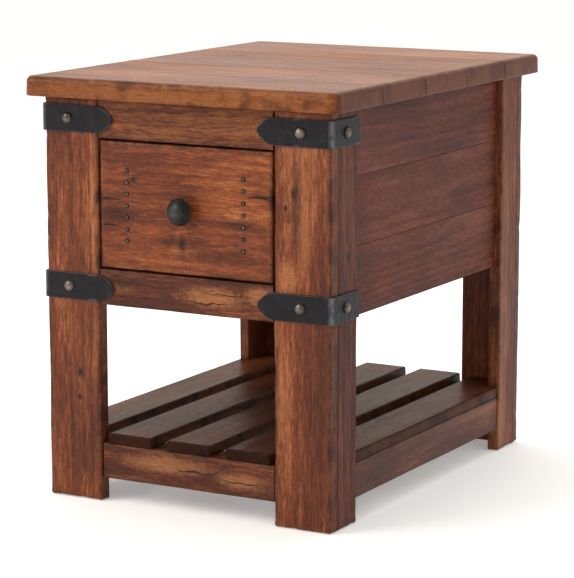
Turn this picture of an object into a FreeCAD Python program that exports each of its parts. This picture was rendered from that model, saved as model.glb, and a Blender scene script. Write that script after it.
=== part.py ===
import FreeCAD, Part
import Sketcher
import os
import re

# A side table with one drawer and a slatted shelf, in millimetres.
# +Z is up, +Y is towards the back, +X is to the right of someone facing the drawer.
# The origin is on the floor, under the middle of the table top.

sizes = {
    # the whole table
    "table_height": 610,
    "body_width": 462,
    "body_depth": 624,
    "edge_ease": 2,
    # table top, glued up from boards that run left to right
    "top_thickness": 28,
    "front_overhang": 25,
    "back_overhang": 21,
    "side_overhang": 20,
    "top_edge_round": 7,
    "top_corner_round": 14,
    # legs, each a face board and a side board in an L
    "leg_width": 90,
    "leg_depth": 76,
    "face_thickness": 18,
    "side_thickness": 17,
    # rails above and below the drawer
    "upper_rail_height": 57,
    "opening_height": 185,
    "lower_rail_height": 52,
    "rail_thickness": 30,
    "rail_lap": 38,
    # side and back panels, each glued up from three boards
    "panel_inset": 10.5,
    "panel_thickness": 18,
    "panel_rise": 2,
    "panel_low_board": 85,
    "panel_middle_board": 124.5,
    # shelf rails and slats
    "shelf_rail_base": 34,
    "shelf_rail_height": 52,
    "shelf_rail_thickness": 24,
    "shelf_end_recess": 3,
    "shelf_side_recess": 2,
    "slat_gap": 24.5,
    "slat_leg_gap": 8.5,
    "slat_thickness": 15,
    # inner battens and blocks
    "cleat_width": 20,
    "cleat_end_gap": 40,
    "bearer_thickness": 22,
    "bearer_height": 60,
    "block_length": 50,
    # corner straps of bent iron
    "strap_height": 39,
    "strap_thickness": 3,
    "strap_reach": 25,
    "strap_taper": 27,
    "strap_corner_round": 3,
    "upper_strap_drop": 11,
    "lower_strap_rise": 4,
    "stud_inset_left": 40,
    "stud_inset_right": 47,
    "stud_inset_side": 38,
    "stud_diameter": 17,
    "stud_dome": 5,
    "stud_shank": 4,
    "stud_bite": 12,
    # drawer
    "drawer_gap": 2,
    "drawer_front_thickness": 20,
    "drawer_wall": 12,
    "drawer_box_rise": 10,
    "drawer_box_drop": 21,
    "drawer_back_gap": 75.5,
    "drawer_joint_depth": 8,
    "drawer_bottom_thickness": 6,
    "drawer_bottom_rise": 8,
    "drawer_groove": 5,
    # knob and its screw
    "knob_diameter": 39,
    "knob_projection": 26,
    "knob_foot": 18,
    "knob_neck": 14,
    "knob_rim_height": 13,
    "knob_rim": 2.5,
    "knob_screw_shank": 4,
    "knob_screw_head": 8,
    "knob_screw_head_height": 2.4,
    "knob_screw_grip": 10,
    # two columns of small nails in the drawer front
    "nail_column_inset": 45,
    "nail_spacing": 16.6,
    "nail_diameter": 5,
    "nail_dome": 1.2,
    "nail_shank": 2,
    "nail_length": 14,
    # ball-bearing drawer slides
    "slide_travel_loss": 20,
    "slide_setback": 2,
    "slide_height": 45,
    "slide_thickness": 12.7,
    "slide_metal": 1.2,
    "slide_clearance": 0.4,
    "slide_lip": 1,
    "cage_metal": 0.8,
    "cage_end_margin": 5,
    "ball_diameter": 3,
    "ball_clearance": 0.2,
    "ball_hole_clearance": 0.3,
    # screws
    "screw_head": 8,
    "screw_head_height": 3,
    "screw_shank": 4,
    "screw_bite": 10,
    "slide_screw_head": 7,
    "slide_screw_head_height": 2,
    "slide_screw_shank": 3.5,
    "slide_screw_length": 11,
    "slide_screw_end": 35,
}

# How many of each thing repeats. Two slats lie outside the legs' inner edges, the rest between them.
top_board_count = 5
slat_count = 5
nail_row_count = 7
ball_row_count = 6

# Places worked out from the sizes, for the right-hand side and the front.
places = {
    "half_width": "body_width / 2",
    "middle_y": "(front_overhang - back_overhang) / 2",
    "front_y": "middle_y - body_depth / 2",
    "back_y": "middle_y + body_depth / 2",
    "leg_height": "table_height - top_thickness",
    "leg_inner_x": "half_width - leg_width",
    "front_lap_y": "front_y + face_thickness",
    "back_lap_y": "back_y - face_thickness",
    "upper_rail_z": "leg_height - upper_rail_height",
    "opening_z": "upper_rail_z - opening_height",
    "lower_rail_z": "opening_z - lower_rail_height",
    "panel_z": "lower_rail_z + panel_rise",
    "panel_height": "leg_height - panel_z",
    "panel_inner_x": "half_width - panel_inset - panel_thickness",
    "panel_inner_y": "back_y - panel_inset - panel_thickness",
    "slat_z": "shelf_rail_base + shelf_rail_height",
    "shelf_inner_x": "half_width - shelf_side_recess - shelf_rail_thickness",
    "shelf_inner_y": "front_y + shelf_end_recess + shelf_rail_thickness",
    "slat_outer_x": "half_width - shelf_side_recess",
    "inner_slats_x": "leg_inner_x - slat_leg_gap",
    "outer_slat_width": "slat_outer_x - inner_slats_x - slat_gap",
    "drawer_front_z": "opening_z + drawer_gap",
    "drawer_front_height": "opening_height - 2 * drawer_gap",
    "drawer_half_width": "leg_inner_x - drawer_gap",
    "drawer_back_face_y": "front_y + drawer_front_thickness",
    "slide_length": "panel_inner_y - drawer_back_face_y - drawer_back_gap",
    "slide_travel": "slide_length - slide_travel_loss",
    "drawer_end_y": "drawer_back_face_y + slide_length",
    "box_outer_x": "leg_inner_x - slide_thickness",
    "box_inner_x": "box_outer_x - drawer_wall",
    "box_z": "drawer_front_z + drawer_box_rise",
    "drawer_box_height": "drawer_front_height - drawer_box_rise - drawer_box_drop",
    "bottom_z": "box_z + drawer_bottom_rise",
    "above_bottom_z": "bottom_z + drawer_bottom_thickness",
    "knob_z": "drawer_front_z + drawer_front_height / 2",
    "slide_z": "box_z + drawer_box_height / 2",
    "slide_y": "drawer_back_face_y + slide_setback",
    # half heights of the nested slide channels, from the case inwards
    "case_channel_half": "slide_height / 2",
    "race": "ball_diameter + 2 * ball_clearance",
    "middle_channel_half": "case_channel_half - slide_metal - race",
    "drawer_channel_half": "middle_channel_half - slide_metal - race",
    "outer_ball_half": "case_channel_half - slide_metal - race / 2",
    "inner_ball_half": "middle_channel_half - slide_metal - race / 2",
    # faces of the nested webs across the slide
    "outer_cage_x": "leg_inner_x - slide_metal - slide_clearance",
    "middle_channel_x": "outer_cage_x - cage_metal - slide_clearance",
    "inner_cage_x": "middle_channel_x - slide_metal - slide_clearance",
    "channel_edge_x": "box_outer_x + 2 * slide_lip",
    "drawer_channel_x": "inner_cage_x - cage_metal - slide_clearance",
    "cage_length": "slide_length - slide_travel / 2 - 2 * cage_end_margin",
    "cage_y": "slide_y + slide_travel / 4 + cage_end_margin",
    # how far each fastener goes in
    "screw_length": "cleat_width + screw_bite",
    "stud_length": "strap_thickness + stud_bite",
}

directions = {
    "right": FreeCAD.Vector(1, 0, 0),
    "left": FreeCAD.Vector(-1, 0, 0),
    "back": FreeCAD.Vector(0, 1, 0),
    "front": FreeCAD.Vector(0, -1, 0),
    "up": FreeCAD.Vector(0, 0, 1),
}
opposite = {"right": "left", "left": "right", "front": "back", "back": "front"}
sides = {"right": 1, "left": -1}
ends = {"front": 1, "back": -1}

doc = FreeCAD.newDocument("SideTable")
sheet = doc.addObject("Spreadsheet::Sheet", "Sizes")
for row, (alias, number) in enumerate(sizes.items(), start=1):
    sheet.set(f"A{row}", alias)
    sheet.set(f"B{row}", str(number))
    sheet.setAlias(f"B{row}", alias)
doc.recompute()

nodes = []


# Turns the words of a formula into references to the sheet.
def expand(text):
    def reference(found):
        word = found.group()
        if word in places:
            return "(" + expand(places[word]) + ")"
        return "Sizes." + word if word in sizes else word

    return re.sub(r"[a-z_]{4,}", reference, str(text))


def bind(thing, settings):
    for name, text in settings.items():
        thing.setExpression(name, expand(text))


def put(thing, corner):
    bind(thing, {f"Placement.Base.{letter}": text for letter, text in zip("xyz", corner)})


# A box is its low corner and its size, written for the front right of the table.
# This gives the same box on the left, at the back, or both.
def mirrored(box, side=1, end=1):
    low, size = [list(part) for part in box]
    if side < 0:
        low[0] = f"-({low[0]}) - ({size[0]})"
    if end < 0:
        low[1] = f"2 * middle_y - ({low[1]}) - ({size[1]})"
    return low, size


# The same for a fastener, which is a point and the way it points.
def mirrored_point(point, way, side=1, end=1):
    x, y, z = point
    if side < 0:
        x = f"-({x})"
        way = opposite[way] if way in ("left", "right") else way
    if end < 0:
        y = f"2 * middle_y - ({y})"
        way = opposite[way] if way in ("front", "back") else way
    return (x, y, z), way


def origin_plane(body, role):
    return next(plane for plane in body.Origin.OriginFeatures if plane.Role == role)


def new_sketch(body, name, role, offset=("0", "0", "0")):
    sketch = body.newObject("Sketcher::SketchObject", name)
    sketch.AttachmentSupport = [(origin_plane(body, role), "")]
    sketch.MapMode = "FlatFace"
    bind(sketch, {f"AttachmentOffset.Base.{letter}": text for letter, text in zip("xyz", offset)})
    return sketch


# A closed outline of straight lines, each corner held by its distances from the sketch's origin.
def polygon(sketch, corners):
    count = len(corners)
    for number in range(count):
        start = guess(corners[number])
        finish = guess(corners[(number + 1) % count])
        sketch.addGeometry(Part.LineSegment(start, finish), False)
    for number in range(count):
        sketch.addConstraint(Sketcher.Constraint("Coincident", number, 2, (number + 1) % count, 1))
    for number, corner in enumerate(corners):
        hold_point(sketch, number, 1, corner, f"corner_{number}")


# Rough place of a corner before its formula is solved, from the numbers in the sheet.
def guess(corner):
    def number(text):
        probe.setExpression("Length", f"1000 + ({expand(text)})")
        doc.recompute([probe])
        return probe.Length.Value - 1000

    return FreeCAD.Vector(number(corner[0]), number(corner[1]), 0)


def hold_point(sketch, curve, end, point, name):
    for letter, text, place in zip("XY", point, guess(point)):
        if text == "0":
            axis = -2 if letter == "X" else -1
            sketch.addConstraint(Sketcher.Constraint("PointOnObject", curve, end, axis))
            continue
        number = sketch.addConstraint(Sketcher.Constraint(f"Distance{letter}", -1, 1, curve, end, place))
        sketch.renameConstraint(number, f"{name}_{letter.lower()}")
        bind(sketch, {f"Constraints.{name}_{letter.lower()}": text})


def solid_step(body, kind, name, sketch, length):
    step = body.newObject(f"PartDesign::{kind}", name)
    step.Profile = sketch
    bind(step, {"Length": length})
    body.Tip = step
    return step


# Rounds the edges of a body that a test picks out.
def round_edges(body, name, radius, chosen=lambda edge: True):
    doc.recompute()
    base = body.Tip
    names = [f"Edge{n}" for n, edge in enumerate(base.Shape.Edges, start=1) if chosen(edge)]
    fillet = body.newObject("PartDesign::Fillet", name)
    fillet.Base = (base, names)
    bind(fillet, {"Radius": radius})
    body.Tip = fillet


def board(label, box, ease="edge_ease"):
    low, size = box
    body = doc.addObject("PartDesign::Body", label)
    sketch = new_sketch(body, label + "_outline", "XY_Plane")
    polygon(sketch, [("0", "0"), (size[0], "0"), (size[0], size[1]), ("0", size[1])])
    solid_step(body, "Pad", label + "_pad", sketch, size[2])
    if ease:
        round_edges(body, label + "_eased", ease)
    put(body, low)
    return body, low


# Takes a box out of a board, both written in the table's own frame.
def notch(piece, name, box):
    body, corner = piece
    low, size = box
    left, near, base = [f"({a}) - ({b})" for a, b in zip(low, corner)]
    sketch = new_sketch(body, name + "_outline", "XY_Plane", (left, near, f"{base} + {size[2]}"))
    polygon(sketch, [("0", "0"), (size[0], "0"), (size[0], size[1]), ("0", size[1])])
    doc.recompute()
    before = body.Shape.Volume
    solid_step(body, "Pocket", name, sketch, size[2])
    doc.recompute()
    if body.Shape.Volume > before - 1:
        raise ValueError(f"{name} cuts nothing")


def keep(thing):
    nodes.append(thing)
    return thing


# The piece that is left when fasteners have gone into a blank.
def pierced(label, blank, *fasteners):
    piece = blank
    for number, fastener in enumerate(fasteners, start=1):
        name = label if number == len(fasteners) else f"{label}_cut_{number}"
        cut = doc.addObject("Part::Cut", name)
        cut.Base = piece
        cut.Tool = fastener
        piece = cut
    return keep(piece)


# Cuts one blank into glued boards along one axis. Heights lists the boards but the last.
def glued_boards(label, blank, box, axis, widths):
    low, size = box
    slices = []
    start = low[axis]
    for number, width in enumerate(widths, start=1):
        cutter = doc.addObject("Part::Box", f"{label}_cutter_{number}")
        corner = list(low)
        extent = list(size)
        corner[axis] = start
        extent[axis] = width
        bind(cutter, dict(zip(("Length", "Width", "Height"), extent)))
        put(cutter, corner)
        slice_ = doc.addObject("Part::Common", f"{label}_board_{number}")
        slice_.Base = blank
        slice_.Tool = cutter
        slices.append(slice_)
        start = f"{start} + {width}"
    glued = doc.addObject("Part::Compound", label)
    glued.Links = slices
    return glued


def aim(thing, point, way):
    turn = FreeCAD.Rotation(FreeCAD.Vector(0, 0, 1), directions[way])
    thing.Placement = FreeCAD.Placement(FreeCAD.Vector(), turn)
    put(thing, point)


def along(point, way, distance):
    return [f"{text} + {step:g} * ({distance})" for text, step in zip(point, directions[way])]


def rod(name, point, way, diameter, length):
    cylinder = doc.addObject("Part::Cylinder", name)
    bind(cylinder, {"Radius": f"({diameter}) / 2", "Height": length})
    aim(cylinder, point, way)
    return cylinder


# Countersunk screws: each goes in at a point, head flush, and points its way.
def screws(label, spots, kind="screw"):
    pieces = []
    for number, (point, way) in enumerate(spots, start=1):
        head = doc.addObject("Part::Cone", f"{label}_head_{number}")
        radii = {"Radius1": f"{kind}_head / 2", "Radius2": f"{kind}_shank / 2"}
        bind(head, {**radii, "Height": f"{kind}_head_height"})
        aim(head, point, way)
        shank = rod(f"{label}_shank_{number}", point, way, f"{kind}_shank", f"{kind}_length")
        pieces += [head, shank]
    return joined(label, pieces)


# Domed studs or nails: each sits on a point and its head looks the way it points.
def studs(label, spots, kind):
    pieces = []
    ball_radius = f"((({kind}_diameter / 2)^2 + {kind}_dome^2) / (2 * {kind}_dome))"
    for number, (point, way) in enumerate(spots, start=1):
        dome = doc.addObject("Part::Sphere", f"{label}_dome_{number}")
        sunk = f"{kind}_dome - {ball_radius}"
        bind(dome, {"Radius": ball_radius, "Angle1": f"asin(-({sunk}) / {ball_radius})"})
        aim(dome, along(point, way, sunk), way)
        shank = rod(f"{label}_shank_{number}", point, opposite[way], f"{kind}_shank", f"{kind}_length")
        pieces += [dome, shank]
    return joined(label, pieces)


def joined(label, pieces):
    whole = doc.addObject("Part::MultiFuse", label)
    whole.Shapes = pieces
    return keep(whole)


def leg_boxes():
    face = (
        ("leg_inner_x", "front_y", "0"),
        ("leg_width", "face_thickness", "leg_height"),
    )
    flank = (
        ("half_width - side_thickness", "front_lap_y", "0"),
        ("side_thickness", "leg_depth - face_thickness", "leg_height"),
    )
    return {"face": face, "side": flank}


def strap_studs():
    heights = {
        "upper": "leg_height - upper_strap_drop - strap_height / 2",
        "lower": "lower_rail_z + lower_strap_rise + strap_height / 2",
    }
    spots = []
    for side_name, side in sides.items():
        for height in heights.values():
            across = f"half_width - stud_inset_{side_name}"
            on_face = (across, "front_y - strap_thickness", height)
            on_flank = ("half_width + strap_thickness", "front_y + stud_inset_side", height)
            spots.append(mirrored_point(on_face, "front", side))
            spots.append(mirrored_point(on_flank, "right", side))
    return studs("strap_studs", spots, "stud")


# Screws that hold the battens, the bearers and the slats.
def frame_screws():
    spots = []
    cleat_z = "leg_height - cleat_width"
    for side in sides.values():
        for offset in ("-body_depth / 3", "0", "body_depth / 3"):
            point = ("panel_inner_x - cleat_width / 2", f"middle_y + {offset}", cleat_z)
            spots.append(mirrored_point(point, "up", side))
        for end in ends.values():
            cleat_middle = f"{cleat_z} + cleat_width / 2"
            point = ("panel_inner_x - cleat_width", "middle_y - body_depth / 6", cleat_middle)
            spots.append(mirrored_point(point, "right", side, end))
            for offset in ("-bearer_height / 5", "bearer_height / 5"):
                point = ("leg_inner_x", f"{block_ends[end]} + block_length / 2", f"slide_z + {offset}")
                spots.append(mirrored_point(point, "right", side))
    for end in ends.values():
        for number in range(slat_count):
            point = (slat_centre(number), "shelf_inner_y + cleat_width / 2", "slat_z - cleat_width")
            spots.append(mirrored_point(point, "up", end=end))
        for number in (1, 2):
            between = f"({slat_centre(number)} + {slat_centre(number + 1)}) / 2"
            point = (between, "shelf_inner_y + cleat_width", "slat_z - cleat_width / 2")
            spots.append(mirrored_point(point, "front", end=end))
    return screws("frame_screws", spots)


# Where each pair of spacer blocks starts, front and back.
block_ends = {1: "front_lap_y", -1: "panel_inner_y - block_length"}


# How many slats lie between the legs' face boards, and the width that they share out.
inner_slat_count = slat_count - 2
inner_slat_width = f"((2 * inner_slats_x - {inner_slat_count - 1} * slat_gap) / {inner_slat_count})"


def slat_span(number):
    if number == 0:
        return "-slat_outer_x", "outer_slat_width"
    if number == slat_count - 1:
        return "slat_outer_x - outer_slat_width", "outer_slat_width"
    return f"{number - 1} * ({inner_slat_width} + slat_gap) - inner_slats_x", inner_slat_width


def slat_centre(number):
    low, width = slat_span(number)
    return f"({low} + {width} / 2)"


def slide_screw_spots(plane_x, way):
    spots = []
    for side in sides.values():
        for offset in ("slide_screw_end", "slide_length / 2", "slide_length - slide_screw_end"):
            spots.append(mirrored_point((plane_x, f"slide_y + {offset}", "slide_z"), way, side))
    return spots


def build_legs(stud_set):
    for end_name, end in ends.items():
        for side_name, side in sides.items():
            for part_name, box in leg_boxes().items():
                label = f"{end_name}_{side_name}_leg_{part_name}"
                if end_name == "back":
                    body, _ = board(label, mirrored(box, side, end))
                    keep(body)
                    continue
                body, _ = board(label + "_blank", mirrored(box, side, end))
                pierced(label, body, stud_set)


# A cross rail: its face fills the gap between the legs and its back laps behind them.
def build_cross_rail(label, face_y, base_z, thickness, height, end, fasteners=()):
    length = "2 * (leg_inner_x + rail_lap)"
    box = (("-(leg_inner_x + rail_lap)", face_y, base_z), (length, thickness, height))
    piece = board(f"{label}_blank" if fasteners else label, mirrored(box, end=end))
    for side_name, side in sides.items():
        shoulder = (("leg_inner_x", face_y, base_z), ("rail_lap", f"front_lap_y - ({face_y})", height))
        notch(piece, f"{label}_shoulder_{side_name}", mirrored(shoulder, side, end))
    if fasteners:
        pierced(label, piece[0], *fasteners)
    else:
        keep(piece[0])


# A piece between the side boards of the legs, whose inner layer laps behind them.
def lapped_side_piece(label, side, outer_x, thickness, base_z, height):
    inner_x = f"({outer_x}) - ({thickness})"
    lap_x = "half_width - side_thickness"
    length = "back_lap_y - front_lap_y"
    box = ((inner_x, "front_lap_y", base_z), (thickness, length, height))
    piece = board(label, mirrored(box, side))
    for end_name, end in ends.items():
        shoulder = (
            (lap_x, "front_lap_y", base_z),
            (f"({outer_x}) - ({lap_x})", "leg_depth - face_thickness", height),
        )
        notch(piece, f"{label}_shoulder_{end_name}", mirrored(shoulder, side, end))
    return piece, mirrored(box, side)


def build_panels(screw_set):
    widths = ["panel_low_board", "panel_middle_board"]
    widths.append("(panel_height - panel_low_board - panel_middle_board)")
    for side_name, side in sides.items():
        label = f"side_panel_{side_name}"
        outer_x = "half_width - panel_inset"
        blank = label + "_blank"
        piece, box = lapped_side_piece(blank, side, outer_x, "panel_thickness", "panel_z", "panel_height")
        glued = glued_boards(label + "_glued", piece[0], box, 2, widths)
        pierced(label, glued, screw_set)
    low = ("-(leg_inner_x + rail_lap)", "panel_inner_y", "panel_z")
    box = (low, ("2 * (leg_inner_x + rail_lap)", "panel_thickness", "panel_height"))
    piece = board("back_panel_blank", box)
    depth = "back_y - panel_inset - back_lap_y"
    for side_name, side in sides.items():
        shoulder = (("leg_inner_x", "back_lap_y", "panel_z"), ("rail_lap", depth, "panel_height"))
        notch(piece, f"back_panel_shoulder_{side_name}", mirrored(shoulder, side))
    keep(glued_boards("back_panel", piece[0], box, 2, widths))


def build_table_top(screw_set):
    low = ("-half_width - side_overhang", "front_y - front_overhang", "leg_height")
    depth = "body_depth + front_overhang + back_overhang"
    box = (low, ("body_width + 2 * side_overhang", depth, "top_thickness"))
    body, _ = board("table_top_blank", box, ease=None)
    round_edges(body, "table_top_corners", "top_corner_round", lambda edge: edge.tangentAt(0).z ** 2 > 0.9)
    top = sizes["top_thickness"]
    round_edges(body, "table_top_upper_round", "top_edge_round", lambda edge: edge.BoundBox.ZMin > top - 1)
    round_edges(body, "table_top_lower_round", "edge_ease", lambda edge: edge.BoundBox.ZMax < 1)
    widths = [f"({depth}) / {top_board_count}"] * top_board_count
    glued = glued_boards("table_top_glued", body, box, 1, widths)
    pierced("table_top", glued, screw_set)


def build_battens(screw_set):
    length = "back_lap_y - front_lap_y - 2 * cleat_end_gap"
    low = ("panel_inner_x - cleat_width", "front_lap_y + cleat_end_gap", "leg_height - cleat_width")
    cleat = (low, ("cleat_width", length, "cleat_width"))
    for side_name, side in sides.items():
        body, _ = board(f"top_cleat_{side_name}_blank", mirrored(cleat, side), ease=None)
        pierced(f"top_cleat_{side_name}", body, screw_set)
    low = ("-shelf_inner_x", "shelf_inner_y", "slat_z - cleat_width")
    cleat = (low, ("2 * shelf_inner_x", "cleat_width", "cleat_width"))
    for end_name, end in ends.items():
        body, _ = board(f"shelf_cleat_{end_name}_blank", mirrored(cleat, end=end), ease=None)
        pierced(f"shelf_cleat_{end_name}", body, screw_set)


def build_bearers(screw_set, slide_screw_set):
    length = "panel_inner_y - front_lap_y"
    base_z = "slide_z - bearer_height / 2"
    bearer = (("leg_inner_x", "front_lap_y", base_z), ("bearer_thickness", length, "bearer_height"))
    spacer = "panel_inner_x - leg_inner_x - bearer_thickness"
    blocks = []
    for side_name, side in sides.items():
        body, _ = board(f"slide_bearer_{side_name}_blank", mirrored(bearer, side), ease=None)
        pierced(f"slide_bearer_{side_name}", body, screw_set, slide_screw_set)
        for end_name, end in ends.items():
            low = ("leg_inner_x + bearer_thickness", block_ends[end], base_z)
            box = mirrored((low, (spacer, "block_length", "bearer_height")), side)
            body, _ = board(f"spacer_block_{end_name}_{side_name}", box, ease=None)
            blocks.append(body)
    together = doc.addObject("Part::Compound", "spacer_blocks_blank")
    together.Links = blocks
    pierced("spacer_blocks", together, screw_set)


def build_shelf(screw_set):
    for side_name, side in sides.items():
        outer_x = "half_width - shelf_side_recess"
        label = f"shelf_rail_{side_name}"
        span = ("shelf_rail_thickness", "shelf_rail_base", "shelf_rail_height")
        piece, _ = lapped_side_piece(label, side, outer_x, *span)
        keep(piece[0])
    for end_name, end in ends.items():
        face_y = "front_y + shelf_end_recess"
        span = ("shelf_rail_base", "shelf_rail_thickness", "shelf_rail_height")
        build_cross_rail(f"shelf_rail_{end_name}", face_y, *span, end, [screw_set])
    for number in range(slat_count):
        build_slat(number, screw_set)


# The outer slats end at the face boards and are notched round the side boards of the legs.
def build_slat(number, screw_set):
    label = f"shelf_slat_{number + 1}"
    outer = number in (0, slat_count - 1)
    near = "front_lap_y" if outer else "front_y + shelf_end_recess"
    low_x, width = slat_span(number)
    box = ((low_x, near, "slat_z"), (width, f"2 * (middle_y - ({near}))", "slat_thickness"))
    piece = board(label + "_blank", box)
    if outer:
        side = -1 if number == 0 else 1
        corner = ("half_width - side_thickness", "front_lap_y", "slat_z")
        overlap = "side_thickness - shelf_side_recess"
        shoulder = (corner, (overlap, "leg_depth - face_thickness", "slat_thickness"))
        for end_name, end in ends.items():
            notch(piece, f"{label}_shoulder_{end_name}", mirrored(shoulder, side, end))
    pierced(label, piece[0], screw_set)


# An iron strap bent round the front corner of a leg, with a bullet-shaped tip on the rail.
def build_strap(label, base_z, side, stud_set):
    body = doc.addObject("PartDesign::Body", label + "_bent")
    sketch = new_sketch(body, label + "_plan", "XY_Plane")
    inner_corner = f"{side} * half_width"
    outer_corner = f"{side} * (half_width + strap_thickness)"
    tip = f"{side} * (leg_inner_x - strap_reach)"
    rear = "front_y + leg_depth"
    face = "front_y - strap_thickness"
    plan = [(tip, face), (outer_corner, face), (outer_corner, rear)]
    plan += [(inner_corner, rear), (inner_corner, "front_y"), (tip, "front_y")]
    polygon(sketch, plan)
    solid_step(body, "Pad", label + "_pad", sketch, "strap_height")
    round_edges(body, label + "_outer_bend", "edge_ease + strap_thickness", corner_edge(plan[1]))
    round_edges(body, label + "_inner_bend", "edge_ease", corner_edge(plan[4]))
    rear_edge = guess(plan[2]).y
    round_edges(body, label + "_corners", "strap_corner_round", lambda edge: across_at(edge, rear_edge))
    put(body, ("0", "0", base_z))

    plain = doc.addObject("Part::Box", label + "_plain_length")
    plain_length = "leg_width + strap_reach - strap_taper + strap_thickness"
    bind(plain, {"Length": plain_length, "Width": "leg_depth + strap_thickness", "Height": "strap_height"})
    low = ("leg_inner_x - strap_reach + strap_taper", face, base_z)
    put(plain, mirrored((low, (plain_length, "0", "0")), side)[0])
    oval = doc.addObject("Part::Ellipse", label + "_tip_oval")
    bind(oval, {"MajorRadius": "strap_taper", "MinorRadius": "strap_height / 2"})
    oval.Placement = FreeCAD.Placement(FreeCAD.Vector(), FreeCAD.Rotation(FreeCAD.Vector(1, 0, 0), 90))
    put(oval, (f"{side} * ({low[0]})", "front_y", f"{base_z} + strap_height / 2"))
    bullet = doc.addObject("Part::Extrusion", label + "_tip")
    bullet.Base = oval
    bullet.DirMode = "Custom"
    bullet.Dir = directions["front"]
    bullet.Solid = True
    bind(bullet, {"LengthFwd": "strap_thickness"})
    outline = doc.addObject("Part::MultiFuse", label + "_outline")
    outline.Shapes = [plain, bullet]
    shaped = doc.addObject("Part::Common", label + "_shaped")
    shaped.Base = body
    shaped.Tool = outline
    pierced(label, shaped, stud_set)


def corner_edge(point):
    place = guess(point)

    def at_corner(edge):
        middle = edge.CenterOfMass
        return abs(middle.x - place.x) < 0.01 and abs(middle.y - place.y) < 0.01

    return at_corner


# True for the short edges through the thickness of a strap's rear end.
def across_at(edge, place_y):
    box = edge.BoundBox
    return abs(box.YMin - place_y) < 0.01 and box.YLength < 0.01 and box.ZLength < 0.01


def build_straps(stud_set):
    bases = {
        "upper": "leg_height - upper_strap_drop - strap_height",
        "lower": "lower_rail_z + lower_strap_rise",
    }
    for level, base_z in bases.items():
        for side_name, side in sides.items():
            build_strap(f"{level}_strap_{side_name}", base_z, side, stud_set)


def drawer_nails():
    spots = []
    for side in sides.values():
        for number in range(nail_row_count):
            across = "drawer_half_width - nail_column_inset"
            height = f"knob_z + {number - (nail_row_count - 1) / 2} * nail_spacing"
            spots.append(mirrored_point((across, "front_y", height), "front", side))
    return studs("drawer_nails", spots, "nail")


def drawer_screws():
    spots = []
    inside = "drawer_end_y - drawer_wall / 2"
    for side in sides.values():
        for height in ("above_bottom_z + screw_length", "box_z + drawer_box_height - screw_length"):
            spots.append(mirrored_point(("box_outer_x", inside, height), "left", side))
    for offset in ("-box_inner_x / 2", "0", "box_inner_x / 2"):
        spots.append(((offset, inside, "bottom_z"), "up"))
    return screws("drawer_screws", spots)


def knob_screw():
    seat = ("0", "drawer_back_face_y", "knob_z")
    shank_length = "drawer_front_thickness + knob_screw_grip"
    shank = rod("knob_screw_rod", seat, "front", "knob_screw_shank", shank_length)
    head = rod("knob_screw_cap", seat, "back", "knob_screw_head", "knob_screw_head_height")
    return joined("knob_screw", [shank, head])


# A turned iron knob: a foot, a narrower neck and a domed cap.
def build_knob(screw):
    body = doc.addObject("PartDesign::Body", "knob_blank")
    sketch = new_sketch(body, "knob_profile", "XZ_Plane")
    rim_top = "knob_rim_height + knob_rim"
    outline = [("0", "0"), ("knob_foot / 2", "0"), ("knob_neck / 2", "knob_rim_height / 2")]
    outline += [("knob_diameter / 2", "knob_rim_height"), ("knob_diameter / 2", rim_top)]
    outline += [("0", "knob_projection")]
    places_now = [guess(point) for point in outline]
    for start, finish in zip(places_now[:4], places_now[1:5]):
        sketch.addGeometry(Part.LineSegment(start, finish), False)
    rim, crown = places_now[4], places_now[5]
    rise = crown.y - rim.y
    radius = (rim.x ** 2 + rise ** 2) / (2 * rise)
    centre = FreeCAD.Vector(0, crown.y - radius, 0)
    from_angle = FreeCAD.Vector(1, 0, 0).getAngle(rim - centre)
    quarter = FreeCAD.Vector(1, 0, 0).getAngle(FreeCAD.Vector(0, 1, 0))
    circle = Part.Circle(centre, FreeCAD.Vector(0, 0, 1), radius)
    dome = sketch.addGeometry(Part.ArcOfCircle(circle, from_angle, quarter), False)
    axis = sketch.addGeometry(Part.LineSegment(crown, places_now[0]), False)
    for line in range(3):
        sketch.addConstraint(Sketcher.Constraint("Coincident", line, 2, line + 1, 1))
    sketch.addConstraint(Sketcher.Constraint("Coincident", 3, 2, dome, 1))
    sketch.addConstraint(Sketcher.Constraint("Coincident", dome, 2, axis, 1))
    sketch.addConstraint(Sketcher.Constraint("Coincident", axis, 2, 0, 1))
    sketch.addConstraint(Sketcher.Constraint("PointOnObject", dome, 3, -2))
    for number, point in enumerate(outline[:4]):
        hold_point(sketch, number, 1, point, f"profile_{number}")
    hold_point(sketch, 3, 2, outline[4], "profile_4")
    hold_point(sketch, axis, 1, outline[5], "profile_5")
    turned = body.newObject("PartDesign::Revolution", "knob_turned")
    turned.Profile = sketch
    turned.ReferenceAxis = (sketch, ["V_Axis"])
    turned.Angle = 360
    body.Tip = turned
    aim(body, ("0", "front_y", "knob_z"), "front")
    pierced("knob", body, screw)


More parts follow.
